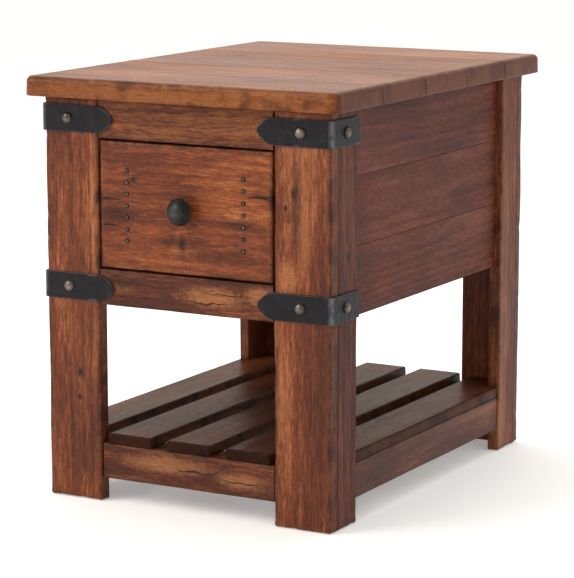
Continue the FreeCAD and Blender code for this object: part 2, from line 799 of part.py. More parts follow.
def build_drawer(nail_set, box_screws, knob_screw_node, slide_screw_set):
    low = ("-drawer_half_width", "front_y", "drawer_front_z")
    box = (low, ("2 * drawer_half_width", "drawer_front_thickness", "drawer_front_height"))
    front = board("drawer_front_blank", box)
    groove_x = "box_inner_x + drawer_groove"
    groove_low = (f"-({groove_x})", "drawer_back_face_y - drawer_groove", "bottom_z")
    groove = (groove_low, (f"2 * ({groove_x})", "drawer_groove", "drawer_bottom_thickness"))
    notch(front, "drawer_front_groove", groove)
    joint_y = "drawer_back_face_y - drawer_joint_depth"
    wall_length = "drawer_end_y - drawer_back_face_y + drawer_joint_depth"
    for side_name, side in sides.items():
        socket_low = ("box_inner_x", joint_y, "box_z")
        socket = (socket_low, ("drawer_wall", "drawer_joint_depth", "drawer_box_height"))
        notch(front, f"drawer_front_socket_{side_name}", mirrored(socket, side))
        wall = (socket_low, ("drawer_wall", wall_length, "drawer_box_height"))
        piece = board(f"drawer_side_{side_name}_blank", mirrored(wall, side), ease=None)
        groove_size = ("drawer_groove", wall_length, "drawer_bottom_thickness")
        groove = (("box_inner_x", joint_y, "bottom_z"), groove_size)
        notch(piece, f"drawer_side_{side_name}_groove", mirrored(groove, side))
        pierced(f"drawer_side_{side_name}", piece[0], box_screws, slide_screw_set)
    pierced("drawer_front", front[0], nail_set, knob_screw_node)
    back_low = ("-box_inner_x", "drawer_end_y - drawer_wall", "above_bottom_z")
    back_height = "box_z + drawer_box_height - above_bottom_z"
    back_size = ("2 * box_inner_x", "drawer_wall", back_height)
    body, _ = board("drawer_back_blank", (back_low, back_size), ease=None)
    pierced("drawer_back", body, box_screws)
    bottom_depth = "drawer_end_y - drawer_back_face_y + drawer_groove"
    bottom = (groove_low, (f"2 * ({groove_x})", bottom_depth, "drawer_bottom_thickness"))
    body, _ = board("drawer_bottom_blank", bottom, ease=None)
    pierced("drawer_bottom", body, box_screws)


# A channel along Y with its web on one side. Web says which side of the box the web is on.
def channel(label, low_x, high_x, half, metal, web, side, length="slide_length", near="slide_y"):
    low = (low_x, near, f"slide_z - ({half})")
    size = (f"({high_x}) - ({low_x})", length, f"2 * ({half})")
    piece = board(label, mirrored((low, size), side), ease=None)
    hollow_x = low_x if web == "outside" else f"({low_x}) + {metal}"
    hollow_low = (hollow_x, near, f"slide_z - ({half}) + {metal}")
    hollow = (hollow_low, (f"{size[0]} - {metal}", length, f"{size[2]} - 2 * {metal}"))
    notch(piece, label + "_hollow", mirrored(hollow, side))
    return piece[0]


# A ball cage: a thin channel with a row of balls let into each flange.
def build_cage(label, low_x, high_x, ball_half, side):
    half = f"{ball_half} + cage_metal / 2"
    where = {"length": "cage_length", "near": "cage_y"}
    strip = channel(label + "_strip", low_x, high_x, half, "cage_metal", "outside", side, **where)
    holes = []
    balls = []
    for row, sign in enumerate((1, -1)):
        for number in range(ball_row_count):
            tag = f"{row}_{number}"
            step = (number + 0.5) / ball_row_count
            middle_x = f"({low_x}) + ball_diameter"
            point = (middle_x, f"cage_y + {step:g} * cage_length", f"slide_z + {sign} * ({ball_half})")
            point, _ = mirrored_point(point, "up", side)
            ball = doc.addObject("Part::Sphere", f"{label}_ball_{tag}")
            bind(ball, {"Radius": "ball_diameter / 2"})
            put(ball, point)
            balls.append(ball)
            low = along(point, "up", "-ball_diameter / 2")
            hole = "ball_diameter + ball_hole_clearance"
            holes.append(rod(f"{label}_hole_{tag}", low, "up", hole, "ball_diameter"))
    tool = doc.addObject("Part::Compound", label + "_holes")
    tool.Links = holes
    cage = doc.addObject("Part::Cut", label + "_cage")
    cage.Base = strip
    cage.Tool = tool
    whole = doc.addObject("Part::Compound", label)
    whole.Links = [cage] + balls
    keep(whole)


def build_slides(case_screws, drawer_slide_screws):
    for side_name, side in sides.items():
        label = f"slide_case_member_{side_name}"
        outer = ("box_outer_x + slide_lip", "leg_inner_x", "case_channel_half", "slide_metal", "outside")
        pierced(label, channel(label + "_blank", *outer, side), case_screws)
        middle = ("channel_edge_x", "middle_channel_x", "middle_channel_half", "slide_metal", "outside")
        keep(channel(f"slide_middle_member_{side_name}", *middle, side))
        label = f"slide_drawer_member_{side_name}"
        inner = ("box_outer_x", "drawer_channel_x", "drawer_channel_half", "slide_metal", "inside")
        pierced(label, channel(label + "_blank", *inner, side), drawer_slide_screws)
        build_cage(f"slide_outer_cage_{side_name}", "channel_edge_x", "outer_cage_x", "outer_ball_half", side)
        build_cage(f"slide_inner_cage_{side_name}", "channel_edge_x", "inner_cage_x", "inner_ball_half", side)


# Stops with the names of anything that failed, then writes one file per node.
def write_nodes():
    doc.recompute()
    failed = [thing.Label for thing in doc.Objects if {"Invalid", "Error"} & set(thing.State)]
    for node in nodes:
        shape = node.Shape
        if shape.isNull() or not shape.isValid() or not shape.Solids:
            failed.append(node.Label)
    if failed:
        raise ValueError(f"these did not build: {failed}")
    os.makedirs("parts", exist_ok=True)
    for node in nodes:
        node.Shape.exportStep(f"parts/{node.Label}.step")


# A length that rough sketch places are measured with.
probe = doc.addObject("Part::Box", "probe")

stud_set = strap_studs()
screw_set = frame_screws()
case_spots = slide_screw_spots("leg_inner_x - slide_metal", "right")
case_slide_screws = screws("case_slide_screws", case_spots, "slide_screw")
drawer_slide_screws = screws(
    "drawer_slide_screws", slide_screw_spots("box_outer_x + slide_metal", "left"), "slide_screw"
)
nail_set = drawer_nails()
box_screws = drawer_screws()
knob_fixing = knob_screw()
build_legs(stud_set)
build_cross_rail("upper_drawer_rail", "front_y", "upper_rail_z", "rail_thickness", "upper_rail_height", 1)
build_cross_rail("lower_drawer_rail", "front_y", "lower_rail_z", "rail_thickness", "lower_rail_height", 1)
build_panels(screw_set)
build_table_top(screw_set)
build_battens(screw_set)
build_bearers(screw_set, case_slide_screws)
build_shelf(screw_set)
build_straps(stud_set)
build_drawer(nail_set, box_screws, knob_fixing, drawer_slide_screws)
build_knob(knob_fixing)
build_slides(case_slide_screws, drawer_slide_screws)
write_nodes()
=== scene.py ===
import bpy
import math
import random
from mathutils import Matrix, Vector, noise


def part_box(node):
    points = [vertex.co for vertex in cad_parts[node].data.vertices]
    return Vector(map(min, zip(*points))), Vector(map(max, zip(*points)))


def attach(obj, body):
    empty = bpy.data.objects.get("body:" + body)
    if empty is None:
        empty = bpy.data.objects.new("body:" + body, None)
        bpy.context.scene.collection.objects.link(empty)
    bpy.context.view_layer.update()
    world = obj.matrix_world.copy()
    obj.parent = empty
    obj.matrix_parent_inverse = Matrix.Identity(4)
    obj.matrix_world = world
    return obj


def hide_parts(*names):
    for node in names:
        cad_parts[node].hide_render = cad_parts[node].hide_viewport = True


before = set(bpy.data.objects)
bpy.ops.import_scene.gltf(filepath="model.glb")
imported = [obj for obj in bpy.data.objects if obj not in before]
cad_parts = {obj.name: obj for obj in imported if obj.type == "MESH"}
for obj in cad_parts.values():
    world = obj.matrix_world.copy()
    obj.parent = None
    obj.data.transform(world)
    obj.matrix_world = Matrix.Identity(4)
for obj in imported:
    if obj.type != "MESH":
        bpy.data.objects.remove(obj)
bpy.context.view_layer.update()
print("frame loaded:", len(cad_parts), "nodes")


# A shader socket that takes part in sums.
class Value:
    def __init__(self, finish, socket):
        self.finish = finish
        self.socket = socket

    def __add__(self, other):
        return self.finish.math("ADD", self, other)

    def __sub__(self, other):
        return self.finish.math("SUBTRACT", self, other)

    def __rsub__(self, other):
        return self.finish.math("SUBTRACT", other, self)

    def __mul__(self, other):
        return self.finish.math("MULTIPLY", self, other)

    def __truediv__(self, other):
        return self.finish.math("DIVIDE", self, other)

    def __rtruediv__(self, other):
        return self.finish.math("DIVIDE", other, self)

    def __pow__(self, other):
        return self.finish.math("POWER", self, other)

    def __abs__(self):
        return self.finish.math("ABSOLUTE", self)

    def floor(self):
        return self.finish.math("FLOOR", self)

    def fraction(self):
        return self.finish.math("FRACT", self)

    def atLeast(self, other):
        return self.finish.math("MAXIMUM", self, other)

    def atMost(self, other):
        return self.finish.math("MINIMUM", self, other)

    def between(self, low, high):  # 0 below low, 1 above high, smooth in between
        settings = {"interpolation_type": "SMOOTHSTEP"}
        inputs = {0: self, 1: low, 2: high, 3: 0.0, 4: 1.0}
        return Value(self.finish, self.finish.add("ShaderNodeMapRange", settings, inputs).outputs[0])

    __radd__ = __add__
    __rmul__ = __mul__


# A material while its nodes are being laid out.
class Finish:
    def __init__(self, name):
        self.material = bpy.data.materials.new(name)
        self.material.use_nodes = True
        self.tree = self.material.node_tree
        self.tree.nodes.clear()
        self.output = self.add("ShaderNodeOutputMaterial")

    def add(self, kind, settings=None, inputs=None):
        node = self.tree.nodes.new(kind)
        for name, setting in (settings or {}).items():
            if name == "stops":
                self.setStops(node.color_ramp.elements, setting)
            else:
                setattr(node, name, setting)
        for key, given in (inputs or {}).items():
            if isinstance(given, Value):
                self.tree.links.new(given.socket, node.inputs[key])
            else:
                node.inputs[key].default_value = given
        return node

    def setStops(self, elements, stops):
        while len(elements) < len(stops):
            elements.new(0.5)
        for element, (place, colour) in zip(elements, stops):
            element.position = place
            element.color = colour

    def math(self, operation, *given):
        node = self.add("ShaderNodeMath", {"operation": operation}, dict(enumerate(given)))
        return Value(self, node.outputs[0])

    def join(self, x, y, z):
        return Value(self, self.add("ShaderNodeCombineXYZ", None, {0: x, 1: y, 2: z}).outputs[0])

    def split(self, vector):
        node = self.add("ShaderNodeSeparateXYZ", None, {0: vector})
        return [Value(self, socket) for socket in node.outputs]

    def noise(self, vector, scale=1.0, detail=2.0, rough=0.5):
        inputs = {"Vector": vector, "Scale": scale, "Detail": detail, "Roughness": rough}
        return Value(self, self.add("ShaderNodeTexNoise", None, inputs).outputs["Fac"])

    def cells(self, vector, scale):
        inputs = {"Vector": vector, "Scale": scale}
        node = self.add("ShaderNodeTexVoronoi", {"feature": "SMOOTH_F1"}, inputs)
        return Value(self, node.outputs["Distance"])

    def ramp(self, amount, stops):
        return Value(self, self.add("ShaderNodeValToRGB", {"stops": stops}, {0: amount}).outputs[0])

    def blend(self, amount, first, second):
        settings = {"data_type": "RGBA", "blend_type": "MIX", "clamp_factor": True}
        return Value(self, self.add("ShaderNodeMix", settings, {0: amount, 6: first, 7: second}).outputs[2])

    def place(self):
        return Value(self, self.add("ShaderNodeTexCoord").outputs["Object"])

    def own(self, name, output="Fac"):
        return Value(self, self.add("ShaderNodeAttribute", {"attribute_name": name}).outputs[output])

    def bump(self, height, distance, under=None):
        inputs = {"Height": height, "Distance": distance}
        if under:
            inputs["Normal"] = under
        return Value(self, self.add("ShaderNodeBump", None, inputs).outputs[0])

    def surface(self, inputs):
        node = self.add("ShaderNodeBsdfPrincipled", None, inputs)
        self.tree.links.new(node.outputs[0], self.output.inputs[0])
        return self.material


def tint(code, strength=1.0):  # a web colour as the renderer's own numbers
    parts = [int(code[n:n + 2], 16) / 255 for n in (0, 2, 4)]
    lit = [part / 12.92 if part <= 0.04045 else ((part + 0.055) / 1.055) ** 2.4 for part in parts]
    return (*[min(1.0, part * strength) for part in lit], 1.0)


# Old hardwood under wax. Colours go from dark to light, and streak is the darkest figure. seam, rings,
# cloud, fleck and streaks say how strongly each shows; gloss is the roughness and wax the coat.
woodLooks = {
    "top": {
        "dark": "5a2b16", "middle": "864a26", "light": "a86a3a", "streak": "45200f", "seam": 0.45,
        "rings": 0.10, "cloud": 0.9, "fleck": 1.8, "streaks": 0.45,
        "gloss": 0.36, "shine": 0.12, "wax": 0.03,
    },
    "leg": {
        "dark": "451e0e", "middle": "6d3418", "light": "985c37", "streak": "280e07", "seam": 0.85,
        "rings": 0.16, "cloud": 1.3, "fleck": 2.0, "streaks": 0.60,
        "gloss": 0.46, "shine": 0.20, "wax": 0.03,
    },
    # flank is a darker copy of the leg wood: painted shade on the front legs' side boards.
    "flank": {
        "dark": "2e0f0a", "middle": "4c2015", "light": "6e3825", "streak": "220a06", "seam": 0.85,
        "rings": 0.30, "cloud": 1.3, "fleck": 2.0, "streaks": 0.60,
        "gloss": 0.46, "shine": 0.12, "wax": 0.02,
    },
    "rail": {
        "dark": "351409", "middle": "532512", "light": "804a27", "streak": "240c06", "seam": 0.85,
        "rings": 0.16, "cloud": 1.4, "fleck": 1.8, "streaks": 0.55,
        "gloss": 0.46, "shine": 0.20, "wax": 0.03,
    },
    "panel": {
        "dark": "3a1812", "middle": "5a281c", "light": "74402f", "streak": "2c100b", "seam": 0.15,
        "rings": 0.2, "cloud": 1.1, "fleck": 1.5, "streaks": 0.2,
        "gloss": 0.46, "shine": 0.12, "wax": 0.02,
    },
    "slat": {
        "dark": "2a130a", "middle": "4c2614", "light": "683c24", "streak": "1a0c07", "seam": 0.85,
        "rings": 0.08, "cloud": 0.9, "fleck": 1.0, "streaks": 0.30,
        "gloss": 0.34, "shine": 0.05, "wax": 0.0,
    },
    "front": {
        "dark": "582612", "middle": "82421f", "light": "a8683a", "streak": "2a0d06", "seam": 0.85,
        "rings": 0.16, "cloud": 1.25, "fleck": 1.8, "streaks": 0.55,
        "gloss": 0.44, "shine": 0.20, "wax": 0.03,
    },
    "box": {
        "dark": "8d6a45", "middle": "ad8a60", "light": "c9a97e", "streak": "6f4f30", "seam": 0.5,
        "rings": 0.25, "cloud": 0.7, "fleck": 0.8, "streaks": 0.25,
        "gloss": 0.60, "shine": 0.25, "wax": 0.0,
    },
    "inner": {
        "dark": "5d3c26", "middle": "7c573a", "light": "987253", "streak": "3b2415", "seam": 0.5,
        "rings": 0.25, "cloud": 0.8, "fleck": 0.9, "streaks": 0.35,
        "gloss": 0.65, "shine": 0.2, "wax": 0.0,
    },
}

# The layers of the figure: how finely each is drawn along the grain and across it, per metre.
figure = {
    "slow": {"along": 1.7, "across": 7.0, "detail": 3.0},
    "quick": {"along": 9.0, "across": 26.0, "detail": 3.0},
    "fibre": {"along": 60.0, "across": 520.0, "rough": 0.6},
    "fleck": {"along": 42.0, "across": 250.0, "detail": 3.0, "rough": 0.7},
    "line": {"along": 9.0, "across": 110.0, "detail": 3.0, "rough": 0.6},
    "cloud": {"along": 6.0, "across": 22.0, "detail": 4.0, "rough": 0.55},
    "patch": {"along": 2.4, "across": 7.0},
    "streak": {"along": 3.4, "across": 48.0, "detail": 4.0, "rough": 0.62, "start": 40.0},
    "pore": {"along": 150.0, "across": 1300.0, "detail": 1.0},
    "hewn": {"along": 9.0, "across": 36.0},
}
# Growth rings, how far they wander, and how they swirl round a knot.
growth = {"ringWidth": 0.010, "sway": 0.028, "waver": 0.006, "swirl": 1.6, "spread": 0.35}
deepTints = {"knot": "120a08", "crack": "0d0605", "hole": "0f0605", "seam": "100705"}


# How far a point is from a knot, 1 at the knot's rim. A knot names two axes, its centre and its half size.
def fromKnot(finish, place, knot):
    parts = finish.split(place)
    first, second = [(parts[a] - c) / s for a, c, s in zip(knot["axes"], knot["centre"], knot["size"])]
    return (first * first + second * second) ** 0.5 + finish.noise(place, 240.0, 3.0) * 0.9 - 0.45


# A thin wandering check, pinched at both ends. It names the axis it runs along and the one across it.
def crackMask(finish, place, check):
    parts = finish.split(place)
    start, end = check["run"]
    wander = (finish.noise(place, 45.0, 3.0) - 0.5) * check.get("wander", 0.006)
    off = abs(parts[check["axes"][1]] - check["at"] + wander)
    middle, half = (start + end) / 2, (end - start) / 2
    pinch = (1 - abs((parts[check["axes"][0]] - middle) / half)).atLeast(0.0) ** 0.5
    return (pinch * check["width"] - off).between(0.0, check["width"] * 0.4)


# Small round holes in a straight row up the face, one column at each side of the middle.
def holeRow(finish, place, row):
    x, _, z = finish.split(place)
    rise = (z - row["middle"]) / row["step"]
    off = (rise - (rise + 0.5).floor()) * row["step"]
    inRow = 1 - abs(rise).between(row["count"] / 2 - 0.05, row["count"] / 2 + 0.05)
    aside = abs(x) - row["column"]
    away = (aside * aside + off * off) ** 0.5
    return (1 - away.between(row["radius"] * 0.75, row["radius"] * 1.2)) * inRow


# Grain runs along the first axis of the grain attribute, and the rings circle its zero line.
def woodFinish(name, look, marks=None, axes=None):
    look = woodLooks[look]
    marks = marks or {}
    f = Finish(name)
    place = f.place()
    if axes:  # a carried-over solid has no grain of its own, so it follows the given axes
        parts = f.split(place)
        x, y, z = [parts[axis] + start for axis, start in zip(axes, (0.0, 0.03, 0.07))]
        nearArris, seam, tone = 0.0, 0.0, 0.5
    else:
        x, y, z = f.split(f.own("grain", "Vector"))
        nearArris, seam, tone = f.own("edge"), f.own("seam"), f.own("tone")

    def layer(name, across=y):
        size = figure[name]
        along = x * size["along"]
        if "start" in size:
            along = along + size["start"]
        spot = f.join(along, across * size["across"], z * size["across"])
        return f.noise(spot, detail=size.get("detail", 2.0), rough=size.get("rough", 0.5))

    slow = layer("slow") - 0.5
    quick = layer("quick") - 0.5
    sway = slow * growth["sway"] + quick * growth["waver"]
    swirl = 0.0
    knots = [fromKnot(f, place, knot) for knot in marks.get("knots", [])]
    for away in knots:
        swirl = swirl + growth["swirl"] / (1 + away * away * growth["spread"])
    heart = ((y + sway) * (y + sway) + (z + sway * 0.7) * (z + sway * 0.7)) ** 0.5
    ring = (heart / growth["ringWidth"] + swirl).fraction()
    late = ring.between(0.25, 0.90) * (1 - ring.between(0.90, 1.0))
    fibre = layer("fibre")
    fleck = layer("fleck", y + sway)
    line = layer("line", y + sway)
    cloud = layer("cloud", y + sway)
    patch = layer("patch")
    streak = layer("streak", y + sway)
    pore = layer("pore")
    shade = (cloud + patch - 1.0) * look["cloud"] + (fleck * 0.6 + line * 0.4 - 0.5) * look["fleck"]
    shade = shade + (fibre - 0.5) * 0.9
    shade = (shade + tone - late * look["rings"]).atLeast(0.0).atMost(1.0)
    stops = [(0.05, tint(look["dark"])), (0.5, tint(look["middle"])), (0.95, tint(look["light"]))]
    colour = f.ramp(shade, stops)
    darkest = tint(look["streak"])

    for stain in marks.get("stains", []):
        near = (1 - fromKnot(f, place, stain).between(0.2, 1.6)) * (0.35 + line * 0.9)
        colour = f.blend(near * 0.9, colour, darkest)
    # Lighter patches: pale wood figure, and on the top's front edge painted light.
    for glow in marks.get("glows", []):
        near = (1 - fromKnot(f, place, glow).between(0.3, 1.3)) * (0.35 + fleck * 0.9)
        colour = f.blend(near * 0.85, colour, tint(glow["colour"]))
    colour = f.blend(streak.between(0.58, 0.78) * look["streaks"], colour, darkest)
    pores = pore.between(0.60, 0.74)
    colour = f.blend(pores * 0.5, colour, darkest)
    height = fleck * 0.5 + fibre * 0.35 - pores * 0.8 - late * 0.15

    hollow = 0.0
    for away in knots:
        core = 1 - away.between(0.3, 0.8)
        colour = f.blend((1 - away.between(0.6, 2.2)) * 0.7, colour, darkest)
        colour = f.blend(core * 0.9, colour, tint(deepTints["knot"]))
        hollow = hollow + core
    for check in marks.get("cracks", []):
        gap = crackMask(f, place, check)
        colour = f.blend(gap * 0.95, colour, tint(deepTints["crack"]))
        hollow = hollow + gap * 1.5
    for row in marks.get("holeRows", []):
        pit = holeRow(f, place, row)
        colour = f.blend(pit * 0.9, colour, tint(deepTints["hole"]))
        hollow = hollow + pit

    # Lighter along the open arrises: partly worn wood, partly a painted highlight.
    wearAndHighlight = nearArris * f.noise(place, 60.0, 4.0, 0.7).between(0.40, 0.62)
    colour = f.blend(wearAndHighlight * 0.45, colour, tint(look["light"]))
    # Darker along the open arrises.
    arrisDarkening = nearArris * (0.35 + f.noise(place, 30.0, 3.0).between(0.48, 0.66) * 0.5)
    colour = f.blend(arrisDarkening, colour, darkest)
    colour = f.blend(seam * look["seam"], colour, tint(deepTints["seam"]))
    if "ends" in marks:  # end grain drinks more stain
        along = f.split(place)[marks["ends"]["axis"]]
        ends = abs(along).between(marks["ends"]["from"], marks["ends"]["to"])
        colour = f.blend(ends * (0.45 + line * 0.4), colour, tint(marks["ends"]["colour"]))
    normal = f.bump(height - hollow * 2.0, 0.0004, f.bump(layer("hewn"), 0.0016))
    rough = look["gloss"] + (fleck - 0.5) * 0.25 + pores * 0.2 + slow * 0.3 + seam * 0.3
    inputs = {"Base Color": colour, "Roughness": rough.atMost(1.0), "Normal": normal}
    inputs.update({"Specular IOR Level": look["shine"], "Coat Weight": look["wax"], "Coat Roughness": 0.25})
    return f.surface(inputs)


# Blackened iron, mottled from low to high and lighter at its edges, partly rubbed bright and partly a
# painted highlight; gloss is the roughness.
ironLooks = {
    "strap": {
        "low": "100f12", "middle": "18171b", "high": "27262a", "wearAndHighlight": "77767c",
        "gloss": 0.44, "metal": 0.35, "shine": 0.22, "dents": 0.0005,
    },
    "stud": {
        "low": "120f0d", "middle": "25201d", "high": "5d554f", "wearAndHighlight": "857c73",
        "gloss": 0.33, "metal": 0.60, "shine": 0.45, "dents": 0.0010,
    },
    "nail": {
        "low": "0f0c0b", "middle": "1d1916", "high": "4d4640", "wearAndHighlight": "6d655c",
        "gloss": 0.30, "metal": 0.60, "shine": 0.50, "dents": 0.0002,
    },
    "knob": {
        "low": "11110f", "middle": "1c1b19", "high": "3c3a35", "wearAndHighlight": "66645e",
        "gloss": 0.36, "metal": 0.50, "shine": 0.25, "dents": 0.0007,
    },
}


def ironFinish(name, look):
    look = ironLooks[look]
    f = Finish(name)
    place = f.place()
    mottle = f.noise(place, 45.0, 4.0, 0.6)
    scale = f.noise(place, 420.0, 3.0, 0.6)
    dents = f.cells(place, 130.0)
    shade = 0.5 + (mottle - 0.5) * 0.9 + (scale - 0.5) * 0.5
    stops = [(0.2, tint(look["low"])), (0.5, tint(look["middle"])), (0.85, tint(look["high"]))]
    colour = f.ramp(shade, stops)
    # Lighter at the edges, rims and crowns: partly rubbed iron, partly a painted highlight.
    wearAndHighlight = f.own("edge") * (0.4 + f.noise(place, 90.0, 4.0, 0.7).between(0.35, 0.6) * 0.6)
    colour = f.blend(wearAndHighlight * 0.75, colour, tint(look["wearAndHighlight"]))
    normal = f.bump(mottle + scale * 0.3, 0.0005, f.bump(dents, look["dents"]))
    rough = look["gloss"] + (mottle - 0.5) * 0.35 - wearAndHighlight * 0.15
    inputs = {"Base Color": colour, "Roughness": rough, "Normal": normal}
    inputs.update({"Metallic": look["metal"], "Specular IOR Level": look["shine"]})
    return f.surface(inputs)


# Bright steel; stretch says how fine its drawn lines are along each axis.
steelLooks = {
    "slide": {"base": "b9bcc0", "stretch": (400.0, 14.0, 400.0)},
    "screw": {"base": "9a9a98", "stretch": (300.0, 300.0, 300.0)},
}


def steelFinish(name, look):
    look = steelLooks[look]
    f = Finish(name)
    place = f.place()
    parts = f.split(place)
    drawn = f.noise(f.join(*[part * size for part, size in zip(parts, look["stretch"])]), detail=3.0)
    stain = f.noise(place, 25.0, 4.0)
    colour = f.ramp(stain, [(0.3, tint(look["base"], 0.7)), (0.7, tint(look["base"]))])
    rough = 0.28 + drawn * 0.2 + stain * 0.12
    normal = f.bump(drawn, 0.0001)
    return f.surface({"Base Color": colour, "Metallic": 0.95, "Roughness": rough, "Normal": normal})


# A piece while its points and faces are being laid out.
class Shell:
    def __init__(self):
        self.points = []
        self.faces = []
        self.notes = {}

    def ring(self, points, **notes):
        first = len(self.points)
        self.points += points
        for name, values in notes.items():
            self.notes.setdefault(name, []).extend(values)
        return list(range(first, first + len(points)))

    def skin(self, loops, turned=False, closed=True):  # walls between the loops, and caps on both ends
        faces = [tuple(reversed(loops[0])), tuple(loops[-1])] if closed else []
        for lower, upper in zip(loops, loops[1:]):
            for n in range(len(lower)):
                m = (n + 1) % len(lower)
                faces.append((lower[n], lower[m], upper[m], upper[n]))
        self.faces += [tuple(reversed(face)) for face in faces] if turned else faces

    def piece(self, name, finish):
        mesh = bpy.data.meshes.new(name)
        mesh.from_pydata(self.points, [], self.faces)
        mesh.polygons.foreach_set("use_smooth", [True] * len(mesh.polygons))
        for note, values in self.notes.items():
            if note == "grain":
                layer = mesh.attributes.new(note, "FLOAT_VECTOR", "POINT")
                layer.data.foreach_set("vector", [number for vector in values for number in vector])
            else:
                layer = mesh.attributes.new(note, "FLOAT", "POINT")
                layer.data.foreach_set("value", values)
        mesh.materials.append(finish)
        mesh.update()
        made = bpy.data.objects.new(name, mesh)
        bpy.context.scene.collection.objects.link(made)
        return made


def settle(made, body, slot, *nodes):
    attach(made, body)
    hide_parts(*nodes)


cornerSteps = 4  # faces round an outline's corner


# Each side of an outline with its direction, its inward direction and its length.
def sidesOf(corners):
    found = []
    for n, corner in enumerate(corners):
        following = corners[(n + 1) % len(corners)]
        run, rise = following[0] - corner[0], following[1] - corner[1]
        length = math.hypot(run, rise)
        found.append(((run / length, rise / length), (-rise / length, run / length), length))
    return found


# The outline drawn in by its own amount at each side, as (point, inward direction, side) all the way round.
def drawIn(corners, sides, insets, counts):
    arcs = []
    for n, (x, y, radius) in enumerate(corners):
        way, inward, _ = sides[n - 1]
        nextWay, nextInward, _ = sides[n]
        before, after = insets[n - 1], insets[n]
        x += inward[0] * before + nextInward[0] * after
        y += inward[1] * before + nextInward[1] * after
        bulge = way[0] * nextWay[1] - way[1] * nextWay[0]
        turn = max(radius - bulge * (before + after) / 2, boardStyle["leastCorner"])
        centre = [c - w * turn + i * turn * bulge for c, w, i in zip((x, y), way, inward)]
        diagonal = [(i + j) / 2 for i, j in zip(inward, nextInward)]
        arc = []
        for step in range(cornerSteps + 1):
            angle = math.radians(90) * step / cornerSteps
            aim = [i * math.cos(angle) + j * math.sin(angle) for i, j in zip(inward, nextInward)]
            point = [c - a * turn * bulge for c, a in zip(centre, aim)]
            arc.append((point, diagonal, n if step > cornerSteps / 2 else n - 1))
        arcs.append(arc)
    loop = []
    for n, arc in enumerate(arcs):
        loop += arc
        start, end = arc[-1][0], arcs[(n + 1) % len(arcs)][0][0]
        for part in range(1, counts[n]):
            share = part / counts[n]
            loop.append(([a + (b - a) * share for a, b in zip(start, end)], sides[n][1], n))
    return loop


# Fills a four-cornered loop with a grid, so that the face between its edges has points of its own.
def fillFace(shell, loop, counts, turned, addPoint):
    starts = [0]
    for count in counts:
        starts.append(starts[-1] + cornerSteps + count)
    across, along = counts[0], counts[1]
    grid = {}
    cornerPlaces = [(along, 0), (along, across), (0, across), (0, 0)]
    for n, place in enumerate(cornerPlaces):
        grid[place] = loop[starts[n]:starts[n] + cornerSteps + 1]
        straight = loop[starts[n] + cornerSteps + 1:starts[n + 1]]
        for k, index in enumerate(straight, 1):
            spot = [(along, k), (along - k, across), (0, across - k), (k, 0)][n]
            grid[spot] = [index]
    for i in range(1, along):
        for j in range(1, across):
            ends = [shell.points[grid[spot][0]] for spot in ((i, 0), (i, across))]
            share = j / across
            point = [a + (b - a) * share for a, b in zip(*ends)]
            grid[i, j] = [addPoint(point)]
    for i in range(along):
        for j in range(across):
            face = grid[i, j] + grid[i + 1, j] + grid[i + 1, j + 1] + grid[i, j + 1]
            shell.faces.append(tuple(reversed(face)) if turned else tuple(face))


boardStyle = {
    "round": 0.0025,  # the arris that shows
    "back": 0.0008,  # the arris behind
    "arrisSteps": 6,
    "corner": 0.0015,
    "leastCorner": 0.0002,
    "wave": 0.0008,  # how far the old edges wander inwards
    "waveScale": 14,
    "nick": 0.0012,  # how deep the dents in them are
    "nickScale": 60,
    "seamArris": 0.22,  # an arris that butts against a neighbour, as a share of the open one
    "toneSpread": 0.08,
    "spacing": 0.006,  # between points along a side
    "margins": (0.006, 0.0025, 0.0008),  # loops of points just inside a face's edge
    "dish": 0.0005,  # how far a face sinks between its edges
    "dishScale": 16,
    "dishStart": 0.008,
    "dishRamp": 0.020,
    "logLength": 9,  # where along the log, and how far from its heart, a board may be cut
    "heartAside": 0.07,
    "heartDepth": (0.03, 0.11),
}


def oblong(low, high, corner):
    spots = [(high[0], low[1]), (high[0], high[1]), (low[0], high[1]), (low[0], low[1])]
    return [(*spot, corner) for spot in spots]


# The loops of a board from its back face to its shown one, each as (how far its arris draws it in,
# how far inside the arris it lies, its height, whether the board is at its full size and not a lap).
def boardLevels(style, thick, room, lapThickness):
    front, back = style["round"], style["back"]
    steps = style["arrisSteps"]
    quarter = [math.radians(90 * n / steps) for n in range(steps + 1)]
    levels = [(back, gap, 0.0, False) for gap in style["margins"] if back + gap < room]
    levels += [(back * (1 - math.sin(a)), 0.0, back * (1 - math.cos(a)), False) for a in quarter]
    if lapThickness:
        levels += [(0.0, 0.0, lapThickness, False), (0.0, 0.0, lapThickness, True)]
    else:
        levels.append((0.0, 0.0, thick / 2, True))
    levels += [(front * (1 - math.cos(a)), 0.0, thick - front * (1 - math.sin(a)), True) for a in quarter]
    return levels + [(front, gap, thick, True) for gap in reversed(style["margins"]) if front + gap < room]


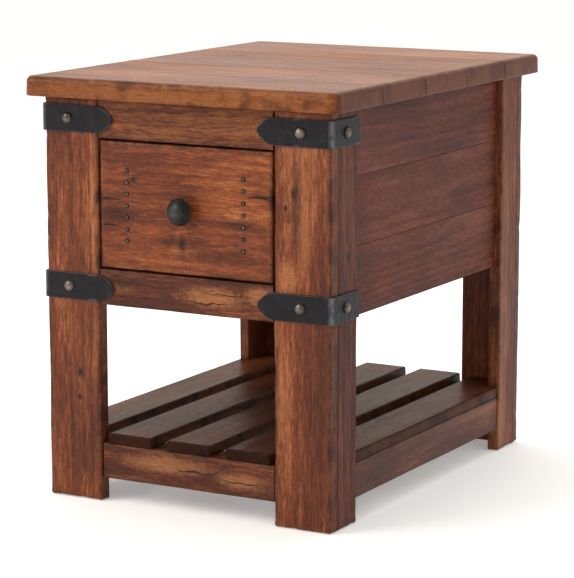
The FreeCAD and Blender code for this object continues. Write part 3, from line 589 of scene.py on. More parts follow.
# One board. grain and thin are its axes, show is the side of thin that is seen, 1 for the high one.
# Its outline is in (grain, wide) metres; seams are the sides that butt against a neighbour.
# A lap is how far its two ends run on behind the neighbours, and how thick they are there.
def addBoard(shell, low, high, grain, thin, show=1, style=None, seed=0, outline=None, seams=(), lap=None,
             tone=0.5):
    style = {**boardStyle, **(style or {})}
    wide = 3 - grain - thin
    corners = outline or oblong((low[grain], low[wide]), (high[grain], high[wide]), style["corner"])
    thick = high[thin] - low[thin]
    middle = [(a + b) / 2 for a, b in zip(low, high)]
    rng = random.Random(seed * 31 + 7)
    aside, deep = style["heartAside"], style["heartDepth"]
    shift = (rng.uniform(-style["logLength"], style["logLength"]), rng.uniform(-aside, aside),
             rng.choice((-1, 1)) * rng.uniform(*deep))
    tone += rng.uniform(-1, 1) * style["toneSpread"]

    def grainAt(point):
        return [point[axis] - middle[axis] + start for axis, start in zip((grain, wide, thin), shift)]

    def wornBy(along, across, height):
        broad, fine = style["waveScale"], style["nickScale"]
        slow = noise.noise(Vector((along * broad, across * broad, height * 30 + seed * 5.37)))
        quick = noise.noise(Vector((along * fine, across * fine, height * 50 + seed * 1.9)))
        return style["wave"] * (0.5 + 0.5 * slow) + style["nick"] * max(0, quick - 0.3)

    room = min(high[grain] - low[grain], high[wide] - low[wide]) / 2
    lapped = corners
    if lap:
        lapped = [(x + (lap[1] if x > middle[grain] else -lap[0]), y, radius) for x, y, radius in corners]
    counts = [max(2, int(side[2] / style["spacing"])) for side in sidesOf(corners)]
    loops = []
    for arris, gap, height, full in boardLevels(style, thick, room, lap and lap[2]):
        shape = corners if full else lapped
        insets = [(arris * style["seamArris"] if n in seams else arris) + gap for n in range(len(shape))]
        points, grains, edges, seamMarks = [], [], [], []
        for (along, across), aim, side in drawIn(shape, sidesOf(shape), insets, counts):
            inSeam = side % len(shape) in seams
            dip = 0.0 if inSeam or not full else wornBy(along, across, height)
            point = [0.0, 0.0, 0.0]
            point[grain] = along + aim[0] * dip
            point[wide] = across + aim[1] * dip
            point[thin] = low[thin] + height if show > 0 else high[thin] - height
            points.append(tuple(point))
            grains.append(grainAt(point))
            edges.append(0.0 if inSeam else (1 - gap / style["margins"][0]) ** 2)
            seamMarks.append(1.0 if inSeam and gap == 0 else 0.0)
        tones = [tone] * len(points)
        loops.append(shell.ring(points, grain=grains, edge=edges, seam=seamMarks, tone=tones))
    mirrored = (grain, wide, thin) in ((0, 2, 1), (2, 1, 0), (1, 0, 2))
    fourSided = len(corners) == 4
    shell.skin(loops, mirrored != (show < 0), not fourSided)
    if not fourSided:
        return

    def sink(point):
        here = Vector(point) * style["dishScale"] + Vector((0, 0, seed * 2.7))
        dip = style["dish"] * (0.5 + 0.5 * noise.noise(here))
        margin = min(abs(point[axis] - end[axis]) for axis in (grain, wide) for end in (low, high))
        return dip * min(1.0, max(0.0, margin - style["dishStart"]) / style["dishRamp"])

    def addPoint(point, outward):
        point[thin] -= outward * sink(point)
        return shell.ring([tuple(point)], grain=[grainAt(point)], edge=[0.0], seam=[0.0], tone=[tone])[0]

    for loop, outward in ((loops[0], -show), (loops[-1], show)):
        turned = mirrored != (outward < 0)
        fillFace(shell, loop, counts, turned, lambda point, way=outward: addPoint(point, way))


def board(node, look, slot, grain, thin, show, style=None, seed=1, marks=None, body="case", **more):
    low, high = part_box(node)
    shell = Shell()
    addBoard(shell, low, high, grain, thin, show, style, seed, **more)
    finish = woodFinish(node, look, marks) if marks else shared(look)
    settle(shell.piece(node + "_wood", finish), body, slot, node)


madeFinishes = {}


def shared(look):
    if look not in madeFinishes:
        madeFinishes[look] = woodFinish(look + "Wood", look)
    return madeFinishes[look]


# The top: five boards side by side, their upper arrises well rounded by wear.
topBoards = {
    "count": 5,
    "outerCorner": 0.014,
    "innerCorner": 0.0015,
    "style": {
        "round": 0.008, "back": 0.002, "wave": 0.0020, "nick": 0.0020,
        "seamArris": 0.06, "toneSpread": 0.03,
    },
    "ends": {"axis": 0, "from": 0.2435, "to": 0.2495, "colour": "52281f"},
    # The glow here is painted light: a lighter band along the front edge, standing in for the light that
    # falls on it.
    "glows": [{"axes": (0, 2), "centre": (-0.030, 0.590), "size": (0.200, 0.010), "colour": "a06236"}],
    "cracks": [
        {"axes": (0, 1), "run": (-0.25, -0.11), "at": -0.285, "width": 0.0009},
        {"axes": (0, 1), "run": (0.02, 0.25), "at": -0.243, "width": 0.0010},
        {"axes": (0, 1), "run": (-0.25, -0.02), "at": -0.170, "width": 0.0008},
        {"axes": (0, 1), "run": (0.09, 0.25), "at": -0.098, "width": 0.0009},
        {"axes": (0, 1), "run": (-0.25, -0.08), "at": 0.020, "width": 0.0009},
        {"axes": (0, 1), "run": (-0.05, 0.20), "at": 0.118, "width": 0.0008},
        {"axes": (0, 1), "run": (0.11, 0.25), "at": 0.240, "width": 0.0010},
    ],
    "knots": [
        {"axes": (0, 1), "centre": (0.115, -0.150), "size": (0.007, 0.005)},
        {"axes": (0, 1), "centre": (-0.140, 0.085), "size": (0.008, 0.006)},
    ],
}


def buildTop():
    low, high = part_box("table_top")
    shell = Shell()
    count = topBoards["count"]
    depth = (high.y - low.y) / count
    outer, inner = topBoards["outerCorner"], topBoards["innerCorner"]
    for n in range(count):
        start, end = low.y + depth * n, low.y + depth * (n + 1)
        near = outer if n == 0 else inner
        far = outer if n == count - 1 else inner
        outline = [(high.x, start, near), (high.x, end, far), (low.x, end, far), (low.x, start, near)]
        seams = [side for side, touching in ((3, n > 0), (1, n < count - 1)) if touching]
        boardLow, boardHigh = (low.x, start, low.z), (high.x, end, high.z)
        addBoard(shell, boardLow, boardHigh, 0, 2, 1, topBoards["style"], 3 + n, outline, seams)
    finish = woodFinish("tableTopWood", "top", topBoards)
    settle(shell.piece("table_top_wood", finish), "case", "top_wood", "table_top")


buildTop()
print("top made")


# Legs: a face board and a side board at each corner, hand-worn at the arrises and feet.
legBoards = {
    # The front legs' side boards take the flank look, a darker copy of the leg wood: painted shade.
    "flankLookWithPaintedShade": {"front": "flank", "back": "leg"},
    "style": {"round": 0.0028, "back": 0.0008, "corner": 0.004, "wave": 0.0026, "nick": 0.0030},
    "marks": {
        "front_right_leg_face": {
            "knots": [
                {"axes": (0, 2), "centre": (0.172, 0.470), "size": (0.003, 0.004)},
                {"axes": (0, 2), "centre": (0.160, 0.448), "size": (0.002, 0.003)},
            ],
            "stains": [{"axes": (0, 2), "centre": (0.176, 0.455), "size": (0.008, 0.060)}],
            "glows": [
                {"axes": (0, 2), "centre": (0.162, 0.352), "size": (0.020, 0.024), "colour": "a5663c"},
                {"axes": (0, 2), "centre": (0.190, 0.400), "size": (0.012, 0.040), "colour": "8a522e"},
            ],
        },
        "front_right_leg_side": {
            "knots": [{"axes": (1, 2), "centre": (-0.262, 0.380), "size": (0.004, 0.006)}],
        },
        "front_left_leg_face": {
            "knots": [
                {"axes": (0, 2), "centre": (-0.176, 0.186), "size": (0.004, 0.006)},
                {"axes": (0, 2), "centre": (-0.178, 0.150), "size": (0.003, 0.004)},
            ],
        },
    },
}


def buildLegs():
    style, marks = legBoards["style"], legBoards["marks"]
    seed = 20
    for end, out in (("front", -1), ("back", 1)):
        touching = [3] if end == "front" else [1]  # the flank's edge against the face board
        # The front legs' side boards get the darker flank copy of the leg wood, which is painted shade.
        look = legBoards["flankLookWithPaintedShade"][end]
        for sideName, side in (("left", -1), ("right", 1)):
            face, flank = f"{end}_{sideName}_leg_face", f"{end}_{sideName}_leg_side"
            board(face, "leg", "leg_wood", 2, 1, out, style, seed, marks.get(face))
            board(flank, look, "leg_wood", 2, 0, side, style, seed + 1, marks.get(flank), seams=touching)
            seed += 2


buildLegs()
print("legs made")


# Rails, panels and their laps behind the legs.
frameBoards = {
    "railStyle": {"round": 0.0022, "back": 0.0008, "wave": 0.0008, "nick": 0.0014},
    "panelStyle": {
        "round": 0.0015, "back": 0.0008, "wave": 0.0004, "nick": 0.0006,
        "seamArris": 0.12, "toneSpread": 0.03,
    },
    "panelBoards": 3,
    # The side rails' darker tone is painted shade on the side faces.
    "sideRailShadeTone": 0.3,
    "marks": {
        "lower_drawer_rail": {
            "glows": [
                {"axes": (0, 2), "centre": (0.045, 0.314), "size": (0.055, 0.016), "colour": "a2663b"},
                {"axes": (0, 2), "centre": (0.118, 0.322), "size": (0.022, 0.014), "colour": "a2663b"},
            ],
            "stains": [
                {"axes": (0, 2), "centre": (0.088, 0.312), "size": (0.012, 0.010)},
                {"axes": (0, 2), "centre": (-0.100, 0.325), "size": (0.040, 0.008)},
            ],
            "cracks": [
                {"axes": (0, 2), "run": (0.00, 0.075), "at": 0.306, "width": 0.0010, "wander": 0.012},
                {"axes": (0, 2), "run": (0.02, 0.110), "at": 0.320, "width": 0.0009, "wander": 0.014},
            ],
        },
        "shelf_rail_front": {
            "glows": [
                {"axes": (0, 2), "centre": (-0.035, 0.066), "size": (0.080, 0.013), "colour": "94603c"},
                {"axes": (0, 2), "centre": (0.085, 0.056), "size": (0.040, 0.012), "colour": "94603c"},
            ],
            "stains": [{"axes": (0, 2), "centre": (0.030, 0.062), "size": (0.035, 0.007)}],
            "cracks": [
                {"axes": (0, 2), "run": (-0.02, 0.050), "at": 0.061, "width": 0.0014, "wander": 0.012},
                {"axes": (0, 2), "run": (0.05, 0.120), "at": 0.055, "width": 0.0012, "wander": 0.014},
            ],
        },
    },
}


# A board whose ends are thinned where they run on behind the legs; main is the stretch between the legs.
def addLapped(shell, low, high, grain, thin, show, main, lapThickness, style, seed, **more):
    inner, outer = list(low), list(high)
    inner[grain], outer[grain] = main
    lap = (main[0] - low[grain], high[grain] - main[1], lapThickness)
    addBoard(shell, inner, outer, grain, thin, show, style, seed, lap=lap, **more)


def buildFrameBoards():
    style = frameBoards["railStyle"]
    legInner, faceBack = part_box("front_right_leg_face")[0].x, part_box("front_right_leg_face")[1].y
    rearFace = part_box("back_right_leg_face")[0].y
    sideStart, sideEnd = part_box("front_right_leg_side")[1].y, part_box("back_right_leg_side")[0].y
    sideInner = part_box("front_right_leg_side")[0].x
    across, along = (-legInner, legInner), (sideStart, sideEnd)
    seed = 40
    rails = {"upper_drawer_rail": -1, "lower_drawer_rail": -1, "shelf_rail_front": -1, "shelf_rail_back": 1}
    for node, show in rails.items():
        low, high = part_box(node)
        lap = high.y - faceBack if show < 0 else rearFace - low.y
        shell = Shell()
        addLapped(shell, low, high, 0, 1, show, across, lap, style, seed, seams=(0, 2))
        marks = frameBoards["marks"].get(node)
        finish = woodFinish(node + "Finish", "rail", marks) if marks else shared("rail")
        settle(shell.piece(node + "_wood", finish), "case", "rail_wood", node)
        seed += 1
    for sideName, side in (("left", -1), ("right", 1)):
        node = "shelf_rail_" + sideName
        low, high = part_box(node)
        lap = sideInner - (low.x if side > 0 else -high.x)
        shell = Shell()
        # The side rails get a fixed darker tone than the other rails: painted shade on the side faces.
        tone = frameBoards["sideRailShadeTone"]
        addLapped(shell, low, high, 1, 0, side, along, lap, style, seed, seams=(0, 2), tone=tone)
        settle(shell.piece(node + "_wood", shared("rail")), "case", "rail_wood", node)
        seed += 1
    style = frameBoards["panelStyle"]
    count = frameBoards["panelBoards"]
    panels = [("side_panel_left", 1, 0, -1), ("side_panel_right", 1, 0, 1), ("back_panel", 0, 1, 1)]
    for node, grain, thin, show in panels:
        low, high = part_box(node)
        if grain == 1:
            main, lap = along, sideInner - (low.x if show > 0 else -high.x)
        else:
            main, lap = across, rearFace - low.y
        shell = Shell()
        height = (high.z - low.z) / count
        for n in range(count):
            boardLow, boardHigh = list(low), list(high)
            boardLow[2], boardHigh[2] = low.z + height * n, low.z + height * (n + 1)
            seams = (0, 1, 2, 3)
            addLapped(shell, boardLow, boardHigh, grain, thin, show, main, lap, style, seed, seams=seams)
            seed += 1
        settle(shell.piece(node + "_wood", shared("panel")), "case", "panel_wood", node)


buildFrameBoards()
print("rails and panels made")


# The shelf: five slats, the outer two cut round the legs.
shelf = {
    "slats": 5,
    "style": {"round": 0.0030, "back": 0.0015, "wave": 0.0012, "nick": 0.0018},
    "hiddenStyle": {"wave": 0.0003},
    "corner": 0.0015,
    "endDepth": (0.0030, 0.0010),  # where the dark of the end grain begins and is full
    "endColour": "180c07",
}


def slatOutline(n, low, high):
    start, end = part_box("front_right_leg_side")[1].y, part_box("back_right_leg_side")[0].y
    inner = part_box("front_right_leg_side")[0].x
    if n == 1:
        spots = [(end, low.x), (end, -inner), (high.y, -inner), (high.y, high.x)]
        spots += [(low.y, high.x), (low.y, -inner), (start, -inner), (start, low.x)]
    elif n == shelf["slats"]:
        spots = [(high.y, low.x), (high.y, inner), (end, inner), (end, high.x)]
        spots += [(start, high.x), (start, inner), (low.y, inner), (low.y, low.x)]
    else:
        return None
    return [(*spot, shelf["corner"]) for spot in spots]


def buildShelf():
    for n in range(1, shelf["slats"] + 1):
        node = f"shelf_slat_{n}"
        low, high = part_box(node)
        begins, full = [-low.y - depth for depth in shelf["endDepth"]]
        marks = {"ends": {"axis": 1, "from": begins, "to": full, "colour": shelf["endColour"]}}
        outline = slatOutline(n, low, high)
        board(node, "slat", "slat_wood", 1, 2, 1, shelf["style"], 60 + n, marks, outline=outline)
    hidden = shelf["hiddenStyle"]
    for end, show in (("front", 1), ("back", -1)):
        board("shelf_cleat_" + end, "inner", "inner_wood", 0, 1, show, hidden, 70)
    for sideName, side in (("left", -1), ("right", 1)):
        board("top_cleat_" + sideName, "inner", "inner_wood", 1, 2, -1, hidden, 72)
        board("slide_bearer_" + sideName, "inner", "inner_wood", 1, 0, -side, hidden, 74)


buildShelf()
print("shelf made")


# The drawer: a worn front on a pale box.
drawer = {
    "frontStyle": {"round": 0.0030, "back": 0.0010, "corner": 0.0025, "wave": 0.0009, "nick": 0.0016},
    "boxStyle": {"round": 0.0012, "back": 0.0012, "wave": 0.0002, "nick": 0.0004},
    "boxBoards": [("side_left", 1, 0, -1), ("side_right", 1, 0, 1), ("back", 0, 1, 1), ("bottom", 0, 2, 1)],
    "front": {
        "cracks": [
            {"axes": (0, 2), "run": (-0.160, -0.105), "at": 0.441, "width": 0.0022, "wander": 0.004},
            {"axes": (0, 2), "run": (-0.160, -0.108), "at": 0.404, "width": 0.0020, "wander": 0.004},
            {"axes": (0, 2), "run": (0.100, 0.160), "at": 0.459, "width": 0.0024, "wander": 0.005},
        ],
        "holeRows": [{"column": 0.094, "middle": 0.4325, "step": 0.0166, "count": 7, "radius": 0.0038}],
        "stains": [
            {"axes": (0, 2), "centre": (0.085, 0.418), "size": (0.035, 0.007)},
            {"axes": (0, 2), "centre": (-0.004, 0.387), "size": (0.040, 0.007)},
            {"axes": (0, 2), "centre": (0.060, 0.370), "size": (0.070, 0.010)},
            {"axes": (0, 2), "centre": (-0.110, 0.420), "size": (0.030, 0.010)},
        ],
        "knots": [
            {"axes": (0, 2), "centre": (-0.004, 0.387), "size": (0.004, 0.008)},
            {"axes": (0, 2), "centre": (-0.083, 0.471), "size": (0.004, 0.003)},
        ],
    },
}


def buildDrawer():
    style, marks = drawer["frontStyle"], drawer["front"]
    board("drawer_front", "front", "drawer_front_wood", 0, 1, -1, style, 80, marks, "drawer")
    for number, (name, grain, thin, show) in enumerate(drawer["boxBoards"]):
        style, seed = drawer["boxStyle"], 82 + number
        board("drawer_" + name, "box", "drawer_box_wood", grain, thin, show, style, seed, None, "drawer")


buildDrawer()
print("drawer made")


# Bent iron straps round the front corners, drawn out to a bullet-shaped tip.
straps = {
    "taper": 0.027,  # the length of the drawn-out tip
    "point": 0.66,  # below 1 the tip is blunter
    "fullness": 1.6,
    "bend": 0.005,
    "arris": 0.0008,
    "rearCorner": 0.003,
    "hammering": 0.0005,
    "hammerScale": 55,
    "edgeWave": 0.0005,
    "waveScale": 40,
    # The rims and the bend are lightened: partly rubbed iron, partly a painted highlight.
    "rimWearAndHighlight": 0.4,
    "bendWearAndHighlightReach": 0.006,  # how far the lighter iron, partly rubbed and partly a painted highlight, reaches from the middle of the bend
    "backLift": 0.0003,  # between the wood and the first line of points
    "steps": {"tip": 15, "flat": 24, "bend": 10, "flank": 20, "corner": 6, "arris": 4, "face": 6},
}


# The strap's outer face seen from above: along the leg's face, round the corner and along its flank.
def strapPath(side, tip, face, outer, rear):
    bend = straps["bend"]
    flat = abs(outer - tip) - bend
    arc = bend * math.pi / 2
    total = flat + arc + (rear - face) - bend

    def at(distance):  # the point on the outer face, and the way it faces
        if distance < flat:
            return Vector((tip + side * distance, face, 0)), Vector((0, -1, 0))
        if distance < flat + arc:
            turn = (distance - flat) / bend
            way = Vector((side * math.sin(turn), -math.cos(turn), 0))
            return Vector((outer - side * bend, face + bend, 0)) + way * bend, way
        return Vector((outer, face + bend + distance - flat - arc, 0)), Vector((side, 0, 0))

    return at, total, flat, arc


# How far along the strap each of its loops stands, closer together where it turns.
def strapStations(flat, arc, total):
    steps, taper, corner = straps["steps"], straps["taper"], straps["rearCorner"]
    tipAngles = [math.radians(3 + 87 * n / steps["tip"]) for n in range(steps["tip"] + 1)]
    cornerAngles = [math.radians(90 * n / steps["corner"]) for n in range(1, steps["corner"])]
    flank = total - corner - flat - arc
    stations = [taper * (1 - math.cos(angle)) for angle in tipAngles]
    stations += [taper + (flat - taper) * n / steps["flat"] for n in range(1, steps["flat"])]
    stations += [flat + arc * n / steps["bend"] for n in range(steps["bend"] + 1)]
    stations += [flat + arc + flank * n / steps["flank"] for n in range(1, steps["flank"] + 1)]
    return stations + [total - corner * (1 - math.sin(angle)) for angle in cornerAngles] + [total]


# Half of the strap's section, from its back edge over the arris to the middle, as (up, out from the wood).
def strapSection(reach, thick):
    steps = straps["steps"]
    edge = min(straps["arris"], reach * 0.9)
    angles = [math.radians(90 * n / steps["arris"]) for n in range(steps["arris"] + 1)]
    section = [(reach, straps["backLift"])]
    section += [(reach - edge * (1 - math.cos(a)), thick - edge * (1 - math.sin(a))) for a in angles]
    section += [((reach - edge) * (1 - n / steps["face"]), thick) for n in range(1, steps["face"])]
    return section, edge


def buildStrap(node, side, seed):
    low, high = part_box(node)
    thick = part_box("front_right_leg_face")[0].y - low.y
    half, middle = (high.z - low.z) / 2, (high.z + low.z) / 2
    outer, tip = (high.x, low.x) if side > 0 else (low.x, high.x)
    at, total, flat, arc = strapPath(side, tip, low.y, outer, high.y)
    taper, corner, scale = straps["taper"], straps["rearCorner"], straps["hammerScale"]
    shell = Shell()
    loops = []
    for distance in strapStations(flat, arc, total):
        outerPoint, way = at(distance)
        reach = half
        if distance < taper:
            reach = half * (1 - (1 - distance / taper) ** straps["fullness"]) ** straps["point"]
        if distance > total - corner:
            reach = half - corner + math.sqrt(max(0.0, corner ** 2 - (distance - total + corner) ** 2))
        ends = min(1.0, (distance + 0.0006) / 0.0016, (total - distance + 0.0010) / 0.0016)  # thinner tips
        # The bend and the rims are lightened in the finish: partly rubbed iron, partly a painted highlight.
        wornAndHighlitBend = max(0.0, 1 - abs(distance - flat - arc / 2) / straps["bendWearAndHighlightReach"])
        section, edge = strapSection(reach, thick)
        points, edges = [], []
        for up, out in section + [(-up, out) for up, out in reversed(section)]:
            probe = Vector((distance * scale, up * scale, seed * 3.1))
            beaten = straps["hammering"] * (0.5 + 0.5 * noise.noise(probe)) * (out / thick)
            wander = noise.noise(Vector((distance * straps["waveScale"], seed, up * 3)))
            up *= 1 - straps["edgeWave"] * (0.5 + 0.5 * wander) / half
            point = outerPoint - way * (thick - out * ends + beaten)
            point.z = middle + up
            points.append(tuple(point))
            rim = straps["rimWearAndHighlight"] if abs(abs(up) - reach) < edge * 1.2 else 0.0
            edges.append(max(rim, wornAndHighlitBend))
        loops.append(shell.ring(points, edge=edges))
    shell.skin(loops, side > 0)
    settle(shell.piece(node + "_iron", strapIron), "case", "strap_iron", node)


strapIron = ironFinish("strapIron", "strap")
for number, level in enumerate(("upper", "lower")):
    buildStrap(f"{level}_strap_left", -1, 90 + number)
    buildStrap(f"{level}_strap_right", 1, 95 + number)
print("straps made")


# The turned knob, its cap slightly beaten.
knobShape = {
    "foot": 0.018,
    "neck": 0.014,
    "rimHeight": 0.013,  # from the drawer front to the widest part
    "rim": 0.0025,
    "around": 64,
    "crownSteps": 15,
    "hammering": 0.0004,
    "hammerScale": 110,
}


# The turned outline from foot to crown, as (distance from the axis, distance from the drawer front).
def knobProfile(radius, reach):
    foot, neck = knobShape["foot"] / 2, knobShape["neck"] / 2
    rimHeight, rim = knobShape["rimHeight"], knobShape["rim"]
    profile = [(foot * share, 0.0) for share in (0.3, 0.7, 0.97)]
    profile += [(foot, 0.0006), (neck + 0.0006, rimHeight * 0.33)]
    profile += [(neck, rimHeight * 0.5), (neck + 0.0016, rimHeight * 0.72)]
    profile += [(radius * 0.66, rimHeight * 0.90), (radius * 0.85, rimHeight * 0.97)]
    profile += [(radius - 0.0007, rimHeight)]
    profile += [(radius, rimHeight + rim * share) for share in (0.35, 0.7)]
    crown = reach - rimHeight - rim
    bow = (radius ** 2 + crown ** 2) / (2 * crown)
    steps = knobShape["crownSteps"]
    for step in range(1, steps + 1):
        across = (radius - 0.0003) * math.cos(math.radians(90 * step / (steps + 1.5)))
        profile.append((across, reach - bow + math.sqrt(bow ** 2 - across ** 2)))
    return profile


def buildKnob():
    low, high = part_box("knob")
    centre = (low + high) / 2
    radius = (high.x - low.x) / 2
    rimHeight, rim, scale = knobShape["rimHeight"], knobShape["rim"], knobShape["hammerScale"]
    shell = Shell()
    loops = []
    for across, out in knobProfile(radius, high.y - low.y):
        points, edges = [], []
        for n in range(knobShape["around"]):
            angle = 2 * math.pi * n / knobShape["around"]
            cosine, sine = math.cos(angle), math.sin(angle)
            probe = Vector((cosine * across * scale, sine * across * scale, out * scale))
            beaten = 0.0
            if out > rimHeight:
                beaten = knobShape["hammering"] * (0.5 + 0.5 * noise.noise(probe))
            wide = across - beaten * 0.4 if across > beaten else across
            points.append((centre.x + wide * cosine, high.y - out + beaten, centre.z + wide * sine))
            onRim = abs(out - rimHeight - rim * 0.7) < 0.0015
            edges.append(0.7 if onRim else max(0.0, 0.6 - across / radius))
        loops.append(shell.ring(points, edge=edges))
    shell.skin(loops)
    settle(shell.piece("knob_iron", ironFinish("knobIron", "knob")), "drawer", "knob_iron", "knob")


buildKnob()
print("knob made")


# Domed heads, one at each given spot, made with Geometry Nodes.
def domeTree():
    tree = bpy.data.node_groups.new("domedHeads", "GeometryNodeTree")
    tree.interface.new_socket("Geometry", in_out="INPUT", socket_type="NodeSocketGeometry")
    kinds = {"Width": "Float", "Dome": "Float", "Hammering": "Float", "Around": "Int", "Seed": "Int",
             "Iron": "Material"}
    for name, kind in kinds.items():
        tree.interface.new_socket(name, in_out="INPUT", socket_type="NodeSocket" + kind)
    tree.interface.new_socket("Geometry", in_out="OUTPUT", socket_type="NodeSocketGeometry")

    def add(kind, settings=None, inputs=None):
        node = tree.nodes.new(kind)
        for name, setting in (settings or {}).items():
            setattr(node, name, setting)
        for key, given in (inputs or {}).items():
            if isinstance(given, bpy.types.NodeSocket):
                tree.links.new(given, node.inputs[key])
            else:
                node.inputs[key].default_value = given
        return node

    def reckon(operation, first, second):
        return add("ShaderNodeMath", {"operation": operation}, {0: first, 1: second}).outputs[0]

    given = add("NodeGroupInput").outputs
    ball = add("GeometryNodeMeshUVSphere", None, {"Segments": given["Around"], "Rings": 12, "Radius": 1.0})
    spot = add("GeometryNodeInputPosition").outputs[0]
    x, y, z = add("ShaderNodeSeparateXYZ", None, {0: spot}).outputs
    above = reckon("MAXIMUM", z, 0.0)
    raised = reckon("MULTIPLY", above, given["Dome"])
    half = reckon("MULTIPLY", given["Width"], 0.5)
    shaped = add("ShaderNodeCombineXYZ", None, {
        0: reckon("MULTIPLY", x, half), 1: reckon("MULTIPLY", y, half), 2: raised})
    crown = add("GeometryNodeStoreNamedAttribute", {"data_type": "FLOAT", "domain": "POINT"}, {
        "Geometry": ball.outputs[0], "Name": "edge", "Value": reckon("POWER", above, 2.0)})
    dome = add("GeometryNodeSetPosition", None, {
        "Geometry": crown.outputs[0], "Position": shaped.outputs[0]})
    facing = add("GeometryNodeInputNamedAttribute", {"data_type": "FLOAT_VECTOR"}, {"Name": "facing"})
    aimed = add("FunctionNodeAlignRotationToVector", {"axis": "Z"}, {"Vector": facing.outputs[0]})
    spin = add("FunctionNodeRandomValue", {"data_type": "FLOAT"}, {
        "Min": 0.0, "Max": 6.28, "Seed": given["Seed"]})
    turn = add("FunctionNodeAxisAngleToRotation", None, {"Axis": (0, 0, 1), "Angle": spin.outputs["Value"]})
    turned = add("FunctionNodeRotateRotation", {"rotation_space": "LOCAL"}, {
        0: aimed.outputs[0], 1: turn.outputs[0]})
    heads = add("GeometryNodeInstanceOnPoints", None, {
        "Points": given["Geometry"], "Instance": dome.outputs[0], "Rotation": turned.outputs[0]})
    loose = add("GeometryNodeRealizeInstances", None, {"Geometry": heads.outputs[0]})
    dents = add("ShaderNodeTexNoise", None, {"Scale": 230.0, "Detail": 1.0})
    beaten = reckon("MULTIPLY", dents.outputs[0], given["Hammering"])
    outward = add("GeometryNodeInputNormal").outputs[0]
    inward = add("ShaderNodeVectorMath", {"operation": "SCALE"}, {
        0: outward, "Scale": reckon("MULTIPLY", beaten, -1.0)})
    hammered = add("GeometryNodeSetPosition", None, {
        "Geometry": loose.outputs[0], "Offset": inward.outputs[0]})
    smooth = add("GeometryNodeSetShadeSmooth", None, {"Geometry": hammered.outputs[0]})
    painted = add("GeometryNodeSetMaterial", None, {
        "Geometry": smooth.outputs[0], "Material": given["Iron"]})
    add("NodeGroupOutput", None, {0: painted.outputs[0]})
    return tree


# Runs the tree on the spots, each with the way it faces, and keeps the plain mesh that it makes.
def growHeads(name, tree, spots, facings, sizes):
    spotMesh = bpy.data.meshes.new(name + "Spots")
    spotMesh.from_pydata(spots, [], [])
    layer = spotMesh.attributes.new("facing", "FLOAT_VECTOR", "POINT")
    layer.data.foreach_set("vector", [number for facing in facings for number in facing])
    maker = bpy.data.objects.new(name + "Maker", spotMesh)
    bpy.context.scene.collection.objects.link(maker)
    modifier = maker.modifiers.new("heads", "NODES")
    modifier.node_group = tree
    for item in tree.interface.items_tree:
        if item.in_out == "INPUT" and item.name in sizes:
            modifier[item.identifier] = sizes[item.name]
    depsgraph = bpy.context.evaluated_depsgraph_get()
    depsgraph.update()
    grown = maker.evaluated_get(depsgraph)
    mesh = bpy.data.meshes.new_from_object(grown, preserve_all_data_layers=True, depsgraph=depsgraph)
    mesh.name = name
    bpy.data.objects.remove(maker)
    made = bpy.data.objects.new(name, mesh)
    bpy.context.scene.collection.objects.link(made)
    return made


studs = {
    "sizes": {"Width": 0.017, "Dome": 0.005, "Hammering": 0.0007, "Around": 24, "Seed": 5},
    "columns": {"left": -0.191, "right": 0.184},  # across the leg faces
    "sideInset": 0.038,  # behind the leg faces
}
nails = {
    "sizes": {"Width": 0.005, "Dome": 0.0012, "Hammering": 0.0002, "Around": 12, "Seed": 9},
    "perColumn": 7,
}


def buildStuds(tree):
    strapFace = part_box("upper_strap_right")[0].y
    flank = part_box("front_right_leg_face")[0].y + studs["sideInset"]
    boxes = [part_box(f"{level}_strap_right") for level in ("upper", "lower")]
    heights = [(low.z + high.z) / 2 for low, high in boxes]
    spots, facings = [], []
    for sideName, side in (("left", -1), ("right", 1)):
        outer = side * max(abs(corner.x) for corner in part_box(f"upper_strap_{sideName}"))
        for height in heights:
            spots += [(studs["columns"][sideName], strapFace, height), (outer, flank, height)]
            facings += [(0, -1, 0), (side, 0, 0)]
    sizes = {**studs["sizes"], "Iron": ironFinish("studIron", "stud")}
    made = growHeads("strap_studs_iron", tree, spots, facings, sizes)
    settle(made, "case", "stud_iron", "strap_studs")


def buildNails(tree):
    low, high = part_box("drawer_nails")
    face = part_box("drawer_front")[0].y
    width = nails["sizes"]["Width"]
    spots = []
    for side in (-1, 1):
        for n in range(nails["perColumn"]):
            share = n / (nails["perColumn"] - 1)
            height = low.z + width / 2 + (high.z - low.z - width) * share
            spots.append((side * (high.x - width / 2), face, height))
    sizes = {**nails["sizes"], "Iron": ironFinish("nailIron", "nail")}
    made = growHeads("drawer_nails_iron", tree, spots, [(0, -1, 0)] * len(spots), sizes)
    settle(made, "drawer", "stud_iron", "drawer_nails")


headTree = domeTree()
buildStuds(headTree)
buildNails(headTree)
print("studs and nails made")


# Solids whose shape is already right keep it and get a finish.
carriedOver = {
    "slide": steelFinish("slideSteel", "slide"),
    "screw": steelFinish("screwSteel", "screw"),
    "block": woodFinish("blockWood", "inner", axes=(2, 1, 0)),
}


def finishCarriedOver():
    kept = {name: solid for name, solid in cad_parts.items() if not solid.hide_render}
    for name, solid in kept.items():
        kind = "slide" if name.startswith("slide_") else "screw" if "screw" in name else "block"
        if not solid.data.materials:
            solid.data.materials.append(carriedOver[kind])
        for place in solid.material_slots:
            place.material = carriedOver[kind]
    print("solids kept with a new finish:", len(kept))


finishCarriedOver()


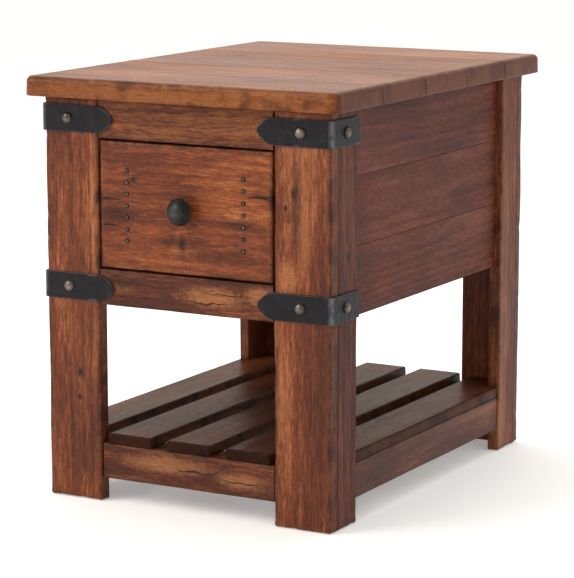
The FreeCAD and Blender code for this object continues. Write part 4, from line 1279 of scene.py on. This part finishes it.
# Pale floor, soft lights and the camera.
studio = {
    "floorColour": "f4f3f1",
    "floorShade": 0.97,  # how much darker the floor's cloudy patches are
    "floorReach": 40.0,
    "floorSides": 60,
    "floorGlow": 0.28,
    "skyColour": "fffdfa",
    "sky": 0.84,
    "lights": [
        {"name": "windowLight", "at": (-2.2, -2.5, 2.2), "size": 2.2, "power": 82.0, "colour": "fff6ec"},
        {"name": "sheenLight", "at": (-1.9, 3.5, 1.4), "size": 2.2, "power": 6.0, "colour": "ffd9b0"},
        {"name": "overheadLight", "at": (-0.3, 1.2, 2.6), "size": 2.4, "power": 22.0, "colour": "fbfaff"},
    ],
    "aim": (0.0, 0.0, 0.35),
}
viewpoint = {
    "lens": 161.5,
    "sensor": 36.0,
    "turn": 29.05,  # degrees round from the front towards the right
    "rise": 10.32,
    "distance": 3.888,
    "aim": (-0.0112, 0.0020, 0.2721),
    "farthest": 200.0,
}


def buildSky():
    scene = bpy.context.scene
    scene.view_settings.view_transform = "Standard"
    scene.world = bpy.data.worlds.new("studio")
    scene.world.use_nodes = True
    sky = scene.world.node_tree.nodes["Background"]
    sky.inputs["Color"].default_value = tint(studio["skyColour"])
    sky.inputs["Strength"].default_value = studio["sky"]


def buildFloor():
    reach, sides = studio["floorReach"], studio["floorSides"]
    angles = [math.radians(360 * n / sides) for n in range(sides)]
    shell = Shell()
    shell.faces.append(tuple(shell.ring([(reach * math.cos(a), reach * math.sin(a), 0.0) for a in angles])))
    f = Finish("floorPaint")
    cloud = f.noise(f.place(), 2.0, 3.0)
    shaded, plain = tint(studio["floorColour"], studio["floorShade"]), tint(studio["floorColour"])
    inputs = {"Base Color": f.ramp(cloud, [(0.3, shaded), (0.7, plain)]), "Roughness": 0.75}
    inputs.update({"Emission Color": (1, 1, 1, 1), "Emission Strength": studio["floorGlow"]})
    shell.piece("floor", f.surface(inputs))


def buildLights():
    for entry in studio["lights"]:
        lamp = bpy.data.lights.new(entry["name"], "AREA")
        lamp.size = entry["size"]
        lamp.energy = entry["power"]
        lamp.color = tint(entry["colour"])[:3]
        holder = bpy.data.objects.new(entry["name"], lamp)
        away = Vector(studio["aim"]) - Vector(entry["at"])
        holder.location = entry["at"]
        holder.rotation_euler = away.to_track_quat("-Z", "Y").to_euler()
        bpy.context.scene.collection.objects.link(holder)


def buildCamera():
    turn, rise = math.radians(viewpoint["turn"]), math.radians(viewpoint["rise"])
    away = Vector((math.sin(turn) * math.cos(rise), -math.cos(turn) * math.cos(rise), math.sin(rise)))
    lens = bpy.data.cameras.new("camera")
    lens.lens = viewpoint["lens"]
    lens.sensor_width = viewpoint["sensor"]
    lens.clip_end = viewpoint["farthest"]
    camera = bpy.data.objects.new("camera", lens)
    camera.location = Vector(viewpoint["aim"]) + away * viewpoint["distance"]
    camera.rotation_euler = (-away).to_track_quat("-Z", "Y").to_euler()
    bpy.context.scene.collection.objects.link(camera)
    bpy.context.scene.camera = camera


buildSky()
buildFloor()
buildLights()
buildCamera()
print("studio ready")
